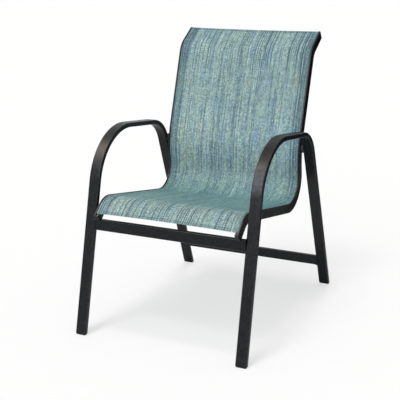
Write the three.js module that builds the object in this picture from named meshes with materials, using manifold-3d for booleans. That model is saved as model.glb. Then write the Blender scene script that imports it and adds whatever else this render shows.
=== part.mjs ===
// Stacking patio armchair with a woven sling on a flat-tube frame.
// Millimetres, +Z up. The chair faces -Y, and "left" is the sitter's left (+X).

import * as THREE from 'three';
import { mergeVertices } from 'three/addons/utils/BufferGeometryUtils.js';
import Module from 'manifold-3d';

// Side frames
const FRAME_SPACING = 541; // centre to centre of the two side frames, at the floor
const FRAME_TUBE_WIDTH = 35.6; // across the chair
const FRAME_TUBE_DEPTH = 15.3; // in the plane of the bends
const FRAME_TUBE_CORNER = 3.6;
const FRAME_TUBE_WALL = 1.2;
const FRAME_LEAN_DEG = 0.34; // each side frame leans towards the sitter, going up
const FOOT_DISTANCE = 744.3; // front foot to rear foot, centre lines at the floor
const FRONT_LEG_LEAN_DEG = 12.9;
const REAR_LEG_LEAN_DEG = 20.65;
const ARM_CORNER_HEIGHT = 628; // where the lines of front leg and arm would meet
const ARM_FALL_DEG = 6.62; // the arm falls towards the rear
const FRONT_BEND_RADIUS = 181.4; // on the centre line
const REAR_BEND_RADIUS = 108.6; // on the centre line

// Cross bars
const FRONT_BAR_HEIGHT = 34.6; // outside size of the tube, upright
const REAR_BAR_HEIGHT = 32.6;
const BAR_DEPTH = 15.3;
const BAR_CORNER = 2.6;
const BAR_WALL = 1.2;
const FRONT_BAR_LEVEL = 340.5; // height of its centre line above the floor
const REAR_BAR_LEVEL = 96.4;
const FRONT_BAR_FORWARD = 3.7; // its centre line lies this far before the leg's

// Sling rails
const RAIL_WIDTH = 14; // across the chair
const RAIL_DEPTH = 28; // square to the fabric
const RAIL_CORNER = 2;
const RAIL_WALL = 1.4;
const FRONT_DROP_DEG = 41.9; // slope of the rail's front end, up and back
const SEAT_FALL_DEG = 10.25; // the seat falls towards the rear
const LOWER_BACK_LEAN_DEG = -5.9; // from the vertical, rearwards
const UPPER_BACK_LEAN_DEG = 18.3;
const TOP_CURL_LEAN_DEG = 57.4;
const FRONT_OVERHANG = 5.4; // rail end to its point of rest on the front bar
const FRONT_RISE = 66.1; // point of rest to the corner of drop and seat
const SEAT_LENGTH = 462.1; // between the corners where the straight lines meet
const LOWER_BACK_LENGTH = 190;
const UPPER_BACK_LENGTH = 325.9;
const TOP_CURL_LENGTH = 92;
const KNEE_RADIUS = 54.8; // front edge of the seat, on the centre line
const HIP_RADIUS = 86.7; // seat to back
const LUMBAR_RADIUS = 257;
const CURL_RADIUS = 60.3;

// Groove, hem rods and sling fabric
const GROOVE_EDGE = 4.8; // outer face of the rail to the groove's mouth
const GROOVE_MOUTH = 2.9;
const GROOVE_LIP = 1.9; // thickness of the lips beside the mouth
const GROOVE_BORE = 8;
const SLING_THICKNESS = 1.2;
const HEM_ROD_DIAMETER = 4.4;
const SLING_FRONT_SETBACK = 12; // rail end to fabric edge
const SLING_TOP_SETBACK = 6;
const HEM_ROD_SETBACK = 5;

// Spreader bars
const SPREADER_WIDTH = 25.4; // along the rail
const SPREADER_DEPTH = 12.7; // square to the fabric
const SPREADER_CORNER = 2;
const SPREADER_WALL = 1.2;
const SPREADER_UNDER_FABRIC = 14; // fabric side of the rail to the bar
const SEAT_SPREADER_SHARE = 0.52; // place along the straight of the seat
const BACK_SPREADER_SHARE = 0.6; // place along the straight of the upper back

// Glides, caps and attachments
const GLIDE_FLANGE = 4; // part of the glide below the leg
const GLIDE_INSET = 0.4;
const GLIDE_PLUG_LENGTH = 22;
const CAP_THICKNESS = 2.2;
const CAP_INSET = 0.25;
const CAP_PLUG_LENGTH = 12;
const BOLT_DIAMETER = 6.4;
const BOLT_HEAD_DIAMETER = 12;
const BOLT_HEAD_THICKNESS = 3.6;
const WASHER_DIAMETER = 15;
const WASHER_THICKNESS = 1.3;
const SPACER_DIAMETER = 13;
const SPACER_LENGTH = 9.3; // holds the rail away from the side frame
const INSERT_DIAMETER = 9;
const INSERT_DEPTH = 10; // into the side frame
const INSERT_RIM_DIAMETER = 12;
const INSERT_RIM_THICKNESS = 1;

// Clearances
const FIT_GAP = 0.3; // round a plug, and under fabric
const FACE_GAP = 0.1; // between flat faces that bear on each other
const BOLT_CLEARANCE = 0.3; // all round the bolt
const CUT_OVERRUN = 5; // how far a cutting shape runs past what it cuts

// Fineness of the form
const CHORD_DEVIATION = 0.35; // largest distance from a bend's true line
const MERGE_DISTANCE = 0.0001; // corners closer than this are one corner
const CORNER_STEPS = 3;
const GROOVE_STEPS = 8;
const ROD_SIDES = 8;
const BOLT_SIDES = 20;

const PAINT = { color: 0x2c2d2f, roughness: 0.45, metalness: 0.35 };
const FABRIC = { color: 0x86a8a8, roughness: 0.9, metalness: 0 };
const PLASTIC = { color: 0x1b1c1d, roughness: 0.6, metalness: 0 };
const STEEL = { color: 0x9a9c9e, roughness: 0.4, metalness: 0.9 };

const wasm = await Module();
wasm.setup();

const rad = THREE.MathUtils.degToRad;
const SIDES = [
  { name: 'left', sign: 1 },
  { name: 'right', sign: -1 },
];

// Lines in side view
// A side view point is a Vector2 of (Y, Z).

/** Direction in side view at an angle above the horizontal, pointing rearwards. */
function direction(degrees) {
  return new THREE.Vector2(Math.cos(rad(degrees)), Math.sin(rad(degrees)));
}

/** The direction's left-hand normal: the fabric side of the rail, the outside of the frame. */
function normalOf(along) {
  return new THREE.Vector2(-along.y, along.x);
}

function moved(point, along, distance) {
  return point.clone().addScaledVector(along, distance);
}

/** Where the line p + s a meets the line q + t b. */
function crossing(p, a, q, b) {
  const s = q.clone().sub(p).cross(b) / a.cross(b);
  return moved(p, a, s);
}

/** A line bent in the plane X = 0, sampled only at its ends and along its bends. */
class BentLine extends THREE.Curve {
  /** Corners are side view points; radii belong to the inner corners. */
  constructor(corners, radii) {
    super();
    this.places = [];
    this.alongs = [];
    const last = corners.length - 1;
    const runs = corners.slice(1).map((c, i) => c.clone().sub(corners[i]).normalize());
    this.add(corners[0], runs[0]);
    for (let i = 1; i < last; i += 1) {
      this.addBend(corners[i], runs[i - 1], runs[i], radii[i - 1]);
    }
    this.add(corners[last], runs[last - 1]);
  }

  add(place, along) {
    this.places.push(place.clone());
    this.alongs.push(along.clone());
  }

  addBend(corner, before, after, radius) {
    const turn = Math.atan2(before.cross(after), before.dot(after));
    const side = Math.sign(turn);
    const start = moved(corner, before, -radius * Math.tan(Math.abs(turn) / 2));
    const centre = moved(start, normalOf(before), side * radius);
    const steps = Math.ceil(Math.abs(turn) / (2 * Math.acos(1 - CHORD_DEVIATION / radius)));
    for (let i = 0; i <= steps; i += 1) {
      const along = before.clone().rotateAround(new THREE.Vector2(), (turn * i) / steps);
      this.add(moved(centre, normalOf(along), -side * radius), along);
    }
  }

  get steps() {
    return this.places.length - 1;
  }

  getPointAt(u) {
    const p = this.places[Math.round(u * this.steps)];
    return new THREE.Vector3(0, p.x, p.y);
  }

  getTangentAt(u) {
    const a = this.alongs[Math.round(u * this.steps)];
    return new THREE.Vector3(0, a.x, a.y);
  }

  /** The same line shifted towards its normal side, as side view points. */
  offset(distance) {
    return this.places.map((p, i) => moved(p, normalOf(this.alongs[i]), distance));
  }
}

/** The last point where two broken lines cross, or null. */
function lastCrossing(lineA, lineB) {
  let found = null;
  for (let i = 0; i + 1 < lineA.length; i += 1) {
    for (let j = 0; j + 1 < lineB.length; j += 1) {
      const a = lineA[i + 1].clone().sub(lineA[i]);
      const b = lineB[j + 1].clone().sub(lineB[j]);
      const gap = lineB[j].clone().sub(lineA[i]);
      const area = a.cross(b);
      const s = gap.cross(b) / area;
      const t = gap.cross(a) / area;
      if (s >= 0 && s <= 1 && t >= 0 && t <= 1) {
        found = moved(lineA[i], a, s);
      }
    }
  }
  return found;
}

// Outlines
// An outline is a list of (x, v): x across the chair, v towards the fabric or the outside.

/** An arc of points about a centre, from one angle to another in degrees. */
function arc(x, v, radius, from, to, steps) {
  return Array.from({ length: steps + 1 }, (_, i) => {
    const a = rad(from + ((to - from) * i) / steps);
    return [x + radius * Math.cos(a), v + radius * Math.sin(a)];
  });
}

/** A rectangle with round corners, counter-clockwise. */
function roundedBox(x, v, width, depth, radius, steps) {
  const dx = width / 2 - radius;
  const dv = depth / 2 - radius;
  return [
    ...arc(x + dx, v - dv, radius, -90, 0, steps),
    ...arc(x + dx, v + dv, radius, 0, 90, steps),
    ...arc(x - dx, v + dv, radius, 90, 180, steps),
    ...arc(x - dx, v - dv, radius, 180, 270, steps),
  ];
}

function plainBox(x, v, width, depth) {
  const dx = width / 2;
  const dv = depth / 2;
  return [[x - dx, v - dv], [x + dx, v - dv], [x + dx, v + dv], [x - dx, v + dv]];
}

function mirrored(outline, about) {
  return outline.map(([x, v]) => [2 * about - x, v]).reverse();
}

// Solids

/** Carries an outline in absolute x along a bent line. */
function sweep(line, outline, holes = []) {
  // The sweep lays the first axis of the shape on -X, so x changes sign and the order turns round.
  const place = (points) => points.map(([x, v]) => new THREE.Vector2(-x, v)).reverse();
  const shape = new THREE.Shape(place(outline));
  shape.holes = holes.map((hole) => new THREE.Path(place(hole)));
  return closed(new THREE.ExtrudeGeometry(shape, { steps: line.steps, extrudePath: line }));
}

/** Merges shared corners, so that the faces close into one skin. */
function closed(geometry) {
  geometry.deleteAttribute('normal');
  geometry.deleteAttribute('uv');
  geometry.clearGroups();
  return mergeVertices(geometry, MERGE_DISTANCE);
}

function solidOf(geometry) {
  return new wasm.Manifold(new wasm.Mesh({
    numProp: 3,
    vertProperties: new Float32Array(geometry.attributes.position.array),
    triVerts: new Uint32Array(geometry.index.array),
  }));
}

function geometryOf(solid) {
  const mesh = solid.getMesh();
  const geometry = new THREE.BufferGeometry();
  geometry.setAttribute('position', new THREE.BufferAttribute(new Float32Array(mesh.vertProperties), 3));
  geometry.setIndex(new THREE.BufferAttribute(new Uint32Array(mesh.triVerts), 1));
  return geometry;
}

function cut(geometry, ...tools) {
  return geometryOf(tools.reduce((rest, tool) => rest.subtract(solidOf(tool)), solidOf(geometry)));
}

function join(...geometries) {
  return geometryOf(geometries.map(solidOf).reduce((whole, piece) => whole.add(piece)));
}

function common(a, b) {
  return geometryOf(solidOf(a).intersect(solidOf(b)));
}

/** A turned solid on an axis parallel to X at a side view point. */
function turnedOnX(profile, sides, at) {
  const points = profile.map(([radius, x]) => new THREE.Vector2(radius, x));
  const geometry = closed(new THREE.LatheGeometry(points, sides));
  geometry.rotateZ(-Math.PI / 2);
  geometry.translate(0, at.x, at.y);
  return geometry;
}

/** A plain round bar from x1 to x2 (x1 below x2), parallel to X. */
function barOnX(diameter, x1, x2, at, sides = BOLT_SIDES) {
  const r = diameter / 2;
  return turnedOnX([[0, x1], [r, x1], [r, x2], [0, x2]], sides, at);
}

/** A ring from x1 to x2 (x1 below x2), parallel to X. */
function ringOnX(outer, inner, x1, x2, at) {
  const r1 = inner / 2;
  const r2 = outer / 2;
  return turnedOnX([[r1, x1], [r2, x1], [r2, x2], [r1, x2], [r1, x1]], BOLT_SIDES, at);
}

/** Shears a piece so that it leans towards the middle as its side frame does. */
function leanIn(geometry, sign) {
  const shear = new THREE.Matrix4().makeShear(0, 0, 0, 0, 0, 0);
  shear.elements[8] = -sign * Math.tan(rad(FRAME_LEAN_DEG));
  return geometry.applyMatrix4(shear);
}

/** A slab between two heights, larger in plan than the whole chair. */
function slab(z1, z2) {
  const reach = 2 * (FRAME_SPACING + FOOT_DISTANCE);
  const geometry = new THREE.BoxGeometry(reach, reach, z2 - z1);
  geometry.translate(0, FOOT_DISTANCE / 2, (z1 + z2) / 2);
  return closed(geometry);
}

// Side frame's line
const legUp = direction(90 - FRONT_LEG_LEAN_DEG);
const armAlong = direction(-ARM_FALL_DEG);
const rearUp = direction(90 + REAR_LEG_LEAN_DEG);
const frontFoot = new THREE.Vector2(0, 0);
const rearFoot = new THREE.Vector2(FOOT_DISTANCE, 0);
const armCorner = moved(frontFoot, legUp, ARM_CORNER_HEIGHT / legUp.y);
const armRear = crossing(armCorner, armAlong, rearFoot, rearUp);
const legOverrun = FRAME_TUBE_DEPTH;
const frameLine = new BentLine(
  [moved(frontFoot, legUp, -legOverrun), armCorner, armRear, moved(rearFoot, rearUp, -legOverrun)],
  [FRONT_BEND_RADIUS, REAR_BEND_RADIUS],
);

/** X of the side frame's face towards the sitter, at a height, on the left side. */
function frameInnerX(z) {
  return FRAME_SPACING / 2 - FRAME_TUBE_WIDTH / 2 - Math.tan(rad(FRAME_LEAN_DEG)) * z;
}

// Rail's line
const frontLegAtBar = crossing(frontFoot, legUp, new THREE.Vector2(0, FRONT_BAR_LEVEL), direction(0));
const rearLegAtBar = crossing(rearFoot, rearUp, new THREE.Vector2(0, REAR_BAR_LEVEL), direction(0));
const frontBarAt = moved(frontLegAtBar, direction(0), -FRONT_BAR_FORWARD);
const dropUp = direction(FRONT_DROP_DEG);
const seatBack = direction(-SEAT_FALL_DEG);
const lowerBackUp = direction(90 - LOWER_BACK_LEAN_DEG);
const upperBackUp = direction(90 - UPPER_BACK_LEAN_DEG);
const curlUp = direction(90 - TOP_CURL_LEAN_DEG);

// The rail rests on the round upper front edge of the front bar.
const barEdge = new THREE.Vector2(
  frontBarAt.x - BAR_DEPTH / 2 + BAR_CORNER,
  frontBarAt.y + FRONT_BAR_HEIGHT / 2 - BAR_CORNER,
);
const railRest = moved(barEdge, normalOf(dropUp), BAR_CORNER + FIT_GAP + RAIL_DEPTH / 2);
const knee = moved(railRest, dropUp, FRONT_RISE);
const hip = moved(knee, seatBack, SEAT_LENGTH);
const lumbar = moved(hip, lowerBackUp, LOWER_BACK_LENGTH);
const curl = moved(lumbar, upperBackUp, UPPER_BACK_LENGTH);

/** The rail's line, shortened by the given lengths at its front and top ends. */
function railLine(frontSetback, topSetback) {
  return new BentLine(
    [
      moved(railRest, dropUp, frontSetback - FRONT_OVERHANG),
      knee,
      hip,
      lumbar,
      curl,
      moved(curl, curlUp, TOP_CURL_LENGTH - topSetback),
    ],
    [KNEE_RADIUS, HIP_RADIUS, LUMBAR_RADIUS, CURL_RADIUS],
  );
}

// Across the rail's depth: the bore of the groove, and the hollow below it.
const boreV = RAIL_DEPTH / 2 - GROOVE_LIP - GROOVE_BORE / 2;
const cellTop = boreV - GROOVE_BORE / 2 - RAIL_WALL;
const cellBottom = RAIL_WALL - RAIL_DEPTH / 2;
const cellV = (cellTop + cellBottom) / 2;
const cellDepth = cellTop - cellBottom;
const cellWidth = RAIL_WIDTH - 2 * RAIL_WALL;

// The bolt goes through the rail just below the groove, where it crosses the side frame's line.
const boltHole = BOLT_DIAMETER + 2 * BOLT_CLEARANCE;
const boltV = cellTop + RAIL_WALL / 2 - boltHole / 2;
const boltAt = lastCrossing(railLine(0, 0).offset(boltV), frameLine.places);
const boltFaceX = frameInnerX(boltAt.y + SPACER_DIAMETER / 2);

// Outwards from the middle of the chair: rail, spacer, rim of the insert, side frame.
const spacerEnd = boltFaceX - INSERT_RIM_THICKNESS - 2 * FACE_GAP;
const railFace = spacerEnd - SPACER_LENGTH - FACE_GAP;
const railBack = railFace - RAIL_WIDTH;
const railX = (railFace + railBack) / 2;
const grooveX = railFace - GROOVE_EDGE - GROOVE_MOUTH / 2;

// Pieces
const chair = new THREE.Group();

function addPiece(name, geometry, look) {
  geometry.computeVertexNormals();
  const mesh = new THREE.Mesh(geometry, new THREE.MeshStandardMaterial({ ...look, name }));
  mesh.name = name;
  chair.add(mesh);
}

function tubeOutline(x) {
  return roundedBox(x, 0, FRAME_TUBE_WIDTH, FRAME_TUBE_DEPTH, FRAME_TUBE_CORNER, CORNER_STEPS);
}

function tubeHollow(x, clearance) {
  const shrink = 2 * (FRAME_TUBE_WALL + clearance);
  const radius = FRAME_TUBE_CORNER - FRAME_TUBE_WALL;
  return roundedBox(x, 0, FRAME_TUBE_WIDTH - shrink, FRAME_TUBE_DEPTH - shrink, radius, 1);
}

function sideFrame(sign) {
  const x = (sign * FRAME_SPACING) / 2;
  const tube = sweep(frameLine, tubeOutline(x), [tubeHollow(x, 0)]);
  const below = slab(-FOOT_DISTANCE, GLIDE_FLANGE + FACE_GAP);
  const hole = barOnX(
    INSERT_DIAMETER + 2 * BOLT_CLEARANCE,
    FRAME_SPACING / 2 - FRAME_TUBE_WIDTH / 2 - CUT_OVERRUN,
    FRAME_SPACING / 2,
    boltAt,
  );
  if (sign < 0) {
    hole.rotateY(Math.PI);
    hole.translate(0, 0, 2 * boltAt.y);
  }
  return leanIn(cut(tube, below, hole), sign);
}

/** A plug in the open end of a leg, with a flange that stands on the floor. */
function footGlide(sign, foot, up) {
  const x = (sign * FRAME_SPACING) / 2;
  const leg = new BentLine(
    [moved(foot, up, -legOverrun), moved(foot, up, GLIDE_PLUG_LENGTH + legOverrun)],
    [],
  );
  const inset = 2 * GLIDE_INSET;
  const outside = roundedBox(
    x,
    0,
    FRAME_TUBE_WIDTH - inset,
    FRAME_TUBE_DEPTH - inset,
    FRAME_TUBE_CORNER - GLIDE_INSET,
    CORNER_STEPS,
  );
  const flange = common(sweep(leg, outside), slab(0, GLIDE_FLANGE));
  const plug = common(sweep(leg, tubeHollow(x, FIT_GAP)), slab(0, GLIDE_FLANGE + GLIDE_PLUG_LENGTH));
  return leanIn(join(flange, plug), sign);
}

/** A tube across the chair, on a side view point, its depth axis at an angle. */
function crossTube(at, degrees, width, depth, corner, wall, halfLength) {
  const outline = roundedBox(0, 0, width, depth, corner, CORNER_STEPS);
  const hollow = roundedBox(0, 0, width - 2 * wall, depth - 2 * wall, corner - wall, 1);
  const toVectors = (points) => points.map(([x, v]) => new THREE.Vector2(x, v));
  const shape = new THREE.Shape(toVectors(outline));
  shape.holes = [new THREE.Path(toVectors(hollow))];
  const geometry = new THREE.ExtrudeGeometry(shape, {
    depth: 2 * halfLength,
    steps: 1,
    bevelEnabled: false,
  });
  geometry.translate(0, 0, -halfLength);
  // Shape x to the chair's Y, shape y to Z, length to X.
  geometry.applyMatrix4(new THREE.Matrix4().makeBasis(
    new THREE.Vector3(0, 1, 0),
    new THREE.Vector3(0, 0, 1),
    new THREE.Vector3(1, 0, 0),
  ));
  geometry.rotateX(rad(degrees));
  geometry.translate(0, at.x, at.y);
  return closed(geometry);
}

/** A cross bar whose ends follow the lean of the side frames. */
function crossBar(at, height) {
  const halfLength = FRAME_SPACING / 2 - FRAME_TUBE_WIDTH / 2 - FACE_GAP;
  const bar = crossTube(at, 0, BAR_DEPTH, height, BAR_CORNER, BAR_WALL, halfLength);
  const place = bar.attributes.position;
  const lean = Math.tan(rad(FRAME_LEAN_DEG));
  for (let i = 0; i < place.count; i += 1) {
    place.setX(i, place.getX(i) - Math.sign(place.getX(i)) * lean * place.getZ(i));
  }
  return bar;
}

/** A spreader bar between the rails, behind the fabric. */
function spreader(from, along, distance) {
  const behind = RAIL_DEPTH / 2 - SPREADER_UNDER_FABRIC - SPREADER_DEPTH / 2;
  const at = moved(moved(from, along, distance), normalOf(along), behind);
  const degrees = THREE.MathUtils.radToDeg(Math.atan2(along.y, along.x));
  const halfLength = railBack - FACE_GAP;
  return crossTube(at, degrees, SPREADER_WIDTH, SPREADER_DEPTH, SPREADER_CORNER, SPREADER_WALL, halfLength);
}

/** Outline of the left rail with its keyhole groove; the groove opens towards the fabric. */
function railOutline() {
  const box = roundedBox(railX, 0, RAIL_WIDTH, RAIL_DEPTH, RAIL_CORNER, 2);
  const corner = box.length / 4;
  const mouth = GROOVE_MOUTH / 2;
  const edge = THREE.MathUtils.radToDeg(Math.asin(mouth / (GROOVE_BORE / 2)));
  return [
    ...box.slice(0, 2 * corner),
    [grooveX + mouth, RAIL_DEPTH / 2],
    ...arc(grooveX, boreV, GROOVE_BORE / 2, 90 - edge, edge - 270, GROOVE_STEPS),
    [grooveX - mouth, RAIL_DEPTH / 2],
    ...box.slice(2 * corner),
  ];
}

function slingRail(sign) {
  const line = railLine(CAP_THICKNESS + FACE_GAP, CAP_THICKNESS + FACE_GAP);
  let outline = railOutline();
  let cell = plainBox(railX, cellV, cellWidth, cellDepth);
  if (sign < 0) {
    outline = mirrored(outline, 0);
    cell = mirrored(cell, 0);
  }
  const middle = sign * railX;
  const reach = RAIL_WIDTH / 2 + CUT_OVERRUN;
  const hole = barOnX(boltHole, middle - reach, middle + reach, boltAt);
  return cut(sweep(line, outline, [cell]), hole);
}

/** A cap over a rail's end, with a plug in its hollow. */
function railCap(sign, line, fromFront) {
  const outline = roundedBox(
    sign * railX,
    0,
    RAIL_WIDTH - 2 * CAP_INSET,
    RAIL_DEPTH - 2 * CAP_INSET,
    RAIL_CORNER - CAP_INSET,
    2,
  );
  const plugOutline = plainBox(
    sign * railX,
    cellV,
    cellWidth - 2 * FIT_GAP,
    cellDepth - 2 * FIT_GAP,
  );
  const end = fromFront ? line.places[0] : line.places[line.steps];
  const outwards = fromFront ? line.alongs[0].clone().negate() : line.alongs[line.steps];
  const along = fromFront ? line.alongs[0] : outwards;
  const near = moved(end, outwards, -CAP_THICKNESS);
  const deep = moved(end, outwards, -CAP_THICKNESS - CAP_PLUG_LENGTH);
  const run = (a, b) => new BentLine(b.clone().sub(a).dot(along) > 0 ? [a, b] : [b, a], []);
  return join(sweep(run(end, near), outline), sweep(run(end, deep), plugOutline));
}

/** Section of the sling: a sheet over both rails, a double ply down each groove, a loop round each rod. */
function slingOutline() {
  const under = RAIL_DEPTH / 2 + FIT_GAP;
  const ply = SLING_THICKNESS;
  const loop = HEM_ROD_DIAMETER / 2 + FIT_GAP / 2 + ply;
  const edge = THREE.MathUtils.radToDeg(Math.asin(ply / loop));
  const half = [
    ...arc(grooveX, boreV, loop, 90 + edge - 360, 90 - edge, GROOVE_STEPS),
    [grooveX + ply, under + ply],
  ];
  const inner = [grooveX - ply, under];
  return [
    inner,
    ...half,
    ...mirrored(half, 0),
    [-inner[0], inner[1]],
  ];
}

function sling() {
  const line = railLine(SLING_FRONT_SETBACK, SLING_TOP_SETBACK);
  const hole = (x) => arc(x, boreV, HEM_ROD_DIAMETER / 2 + FIT_GAP / 2, 0, 360, ROD_SIDES).slice(1);
  return sweep(line, slingOutline(), [hole(grooveX), hole(-grooveX)]);
}

function hemRod(sign) {
  const line = railLine(HEM_ROD_SETBACK, HEM_ROD_SETBACK);
  return sweep(line, arc(sign * grooveX, boreV, HEM_ROD_DIAMETER / 2, 0, 360, ROD_SIDES).slice(1));
}

/** Turns a piece that was made for the left side into its mate on the right. */
function forSide(geometry, sign) {
  if (sign < 0) {
    geometry.rotateY(Math.PI);
    geometry.translate(0, 0, 2 * boltAt.y);
  }
  return geometry;
}

function addRailJoint(side) {
  const boltEnd = boltFaceX + INSERT_DEPTH;
  const headSeat = railBack - WASHER_THICKNESS - 2 * FACE_GAP;
  const headEnd = headSeat - BOLT_HEAD_THICKNESS;
  const r = BOLT_DIAMETER / 2;
  const head = BOLT_HEAD_DIAMETER / 2;
  const place = (geometry) => forSide(geometry, side.sign);
  addPiece(
    `${side.name}_rail_spacer`,
    place(ringOnX(SPACER_DIAMETER, boltHole, railFace + FACE_GAP, spacerEnd, boltAt)),
    PLASTIC,
  );
  addPiece(
    `${side.name}_rail_washer`,
    place(ringOnX(WASHER_DIAMETER, boltHole, railBack - FACE_GAP - WASHER_THICKNESS, railBack - FACE_GAP, boltAt)),
    STEEL,
  );
  addPiece(
    `${side.name}_rail_bolt`,
    place(turnedOnX(
      [[0, headEnd], [head, headEnd], [head, headSeat], [r, headSeat], [r, boltEnd], [0, boltEnd]],
      BOLT_SIDES,
      boltAt,
    )),
    STEEL,
  );
  const rim = INSERT_RIM_DIAMETER / 2;
  const body = INSERT_DIAMETER / 2;
  const inner = boltHole / 2;
  const rimAt = boltFaceX - INSERT_RIM_THICKNESS - FACE_GAP;
  addPiece(
    `${side.name}_frame_insert`,
    place(turnedOnX(
      [[inner, rimAt], [rim, rimAt], [rim, boltFaceX - FACE_GAP], [body, boltFaceX - FACE_GAP],
        [body, boltEnd], [inner, boltEnd], [inner, rimAt]],
      BOLT_SIDES,
      boltAt,
    )),
    STEEL,
  );
}

for (const side of SIDES) {
  addPiece(`${side.name}_side_frame`, sideFrame(side.sign), PAINT);
  addPiece(`${side.name}_front_foot_glide`, footGlide(side.sign, frontFoot, legUp), PLASTIC);
  addPiece(`${side.name}_rear_foot_glide`, footGlide(side.sign, rearFoot, rearUp), PLASTIC);
}
addPiece('front_cross_bar', crossBar(frontBarAt, FRONT_BAR_HEIGHT), PAINT);
addPiece('rear_cross_bar', crossBar(rearLegAtBar, REAR_BAR_HEIGHT), PAINT);

for (const side of SIDES) {
  const ends = railLine(0, 0);
  addPiece(`${side.name}_sling_rail`, slingRail(side.sign), PAINT);
  addPiece(`${side.name}_rail_front_cap`, railCap(side.sign, ends, true), PLASTIC);
  addPiece(`${side.name}_rail_top_cap`, railCap(side.sign, ends, false), PLASTIC);
  addPiece(`${side.name}_hem_rod`, hemRod(side.sign), PLASTIC);
  addRailJoint(side);
}
addPiece('seat_spreader_bar', spreader(knee, seatBack, SEAT_LENGTH * SEAT_SPREADER_SHARE), PAINT);
addPiece('back_spreader_bar', spreader(lumbar, upperBackUp, UPPER_BACK_LENGTH * BACK_SPREADER_SHARE), PAINT);
addPiece('sling', sling(), FABRIC);

// The origin is at the middle of the bounding box, on the floor.
const box = new THREE.Box3().setFromObject(chair);
chair.position.y = -(box.min.y + box.max.y) / 2;
chair.updateMatrixWorld(true);

export default chair;
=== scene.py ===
"""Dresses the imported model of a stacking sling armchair: powder-coated tube frame, woven sling, plain studio.

Metres, +Z up. The chair faces -Y, and "left" is the sitter's left (+X).
"""

import math
from functools import partial

import bpy
import numpy as np
from bpy.props import FloatProperty, FloatVectorProperty, PointerProperty
from bpy.types import Operator, Panel, PropertyGroup
from mathutils import Matrix, Vector
from mathutils.geometry import tessellate_polygon


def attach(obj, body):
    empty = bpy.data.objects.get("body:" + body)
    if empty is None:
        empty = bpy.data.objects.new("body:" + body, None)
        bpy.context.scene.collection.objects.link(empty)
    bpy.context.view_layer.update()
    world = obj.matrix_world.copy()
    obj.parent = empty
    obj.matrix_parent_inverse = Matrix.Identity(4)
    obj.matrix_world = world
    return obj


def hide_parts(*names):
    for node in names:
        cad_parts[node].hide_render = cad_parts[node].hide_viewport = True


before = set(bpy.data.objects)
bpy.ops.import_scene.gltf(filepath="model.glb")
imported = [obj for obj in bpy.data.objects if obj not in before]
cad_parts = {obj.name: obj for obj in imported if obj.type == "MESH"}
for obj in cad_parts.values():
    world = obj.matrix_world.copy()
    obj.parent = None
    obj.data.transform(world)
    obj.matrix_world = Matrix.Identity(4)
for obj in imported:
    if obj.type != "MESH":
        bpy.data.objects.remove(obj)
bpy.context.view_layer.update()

bl_info = {
    "name": "Sling Patio Chair",
    "version": (1, 0, 0),
    "blender": (4, 5, 0),
    "location": "View3D > Sidebar > Chair",
    "description": "Builds the visible pieces of a sling patio chair around its packed solids",
    "category": "Object",
}

MM = 0.001
SIDES = (("left", 1), ("right", -1))
CHAIR_LENGTH_MIDDLE = 372.305 * MM  # front foot to the middle of the chair's length, on the floor

# Fineness of the surfaces
BEND_STEP = math.radians(2.5)
CORNER_STEPS = 8
BORE_STEPS = 24
TURN_STEPS = 48
EDGE_STEPS = 4
WELD_STEPS, WELD_SIDES = 160, 10
SLING_ROWS = 228
CORNER_TURN = 0.12  # sine of the turn between sides, above which they are on a corner's arc


def linear(code, alpha=1.0):
    """sRGB hex to linear: c / 12.92 up to 0.04045, and ((c + 0.055) / 1.055) to the 2.4 above it."""
    channels = np.array([int(code[i:i + 2], 16) for i in (1, 3, 5)]) / 255
    low, high = channels / 12.92, ((channels + 0.055) / 1.055) ** 2.4
    return (*np.where(channels <= 0.04045, low, high).tolist(), alpha)


# Properties: a length in millimetres, an angle in degrees, a share of 1 and a colour as sRGB hex

def size(label, millimetres, text):
    return FloatProperty(
        name=label, description=text, default=millimetres * MM, unit="LENGTH", precision=4)


def slope(label, degrees, text):
    return FloatProperty(
        name=label, description=text, default=math.radians(degrees), subtype="ANGLE")


def share_of(label, value, text):
    return FloatProperty(name=label, description=text, default=value, subtype="FACTOR", min=0, max=1)


def colour(label, code, text):
    return FloatVectorProperty(
        name=label, description=text, default=linear(code), size=4, subtype="COLOR", min=0, max=1)


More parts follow.
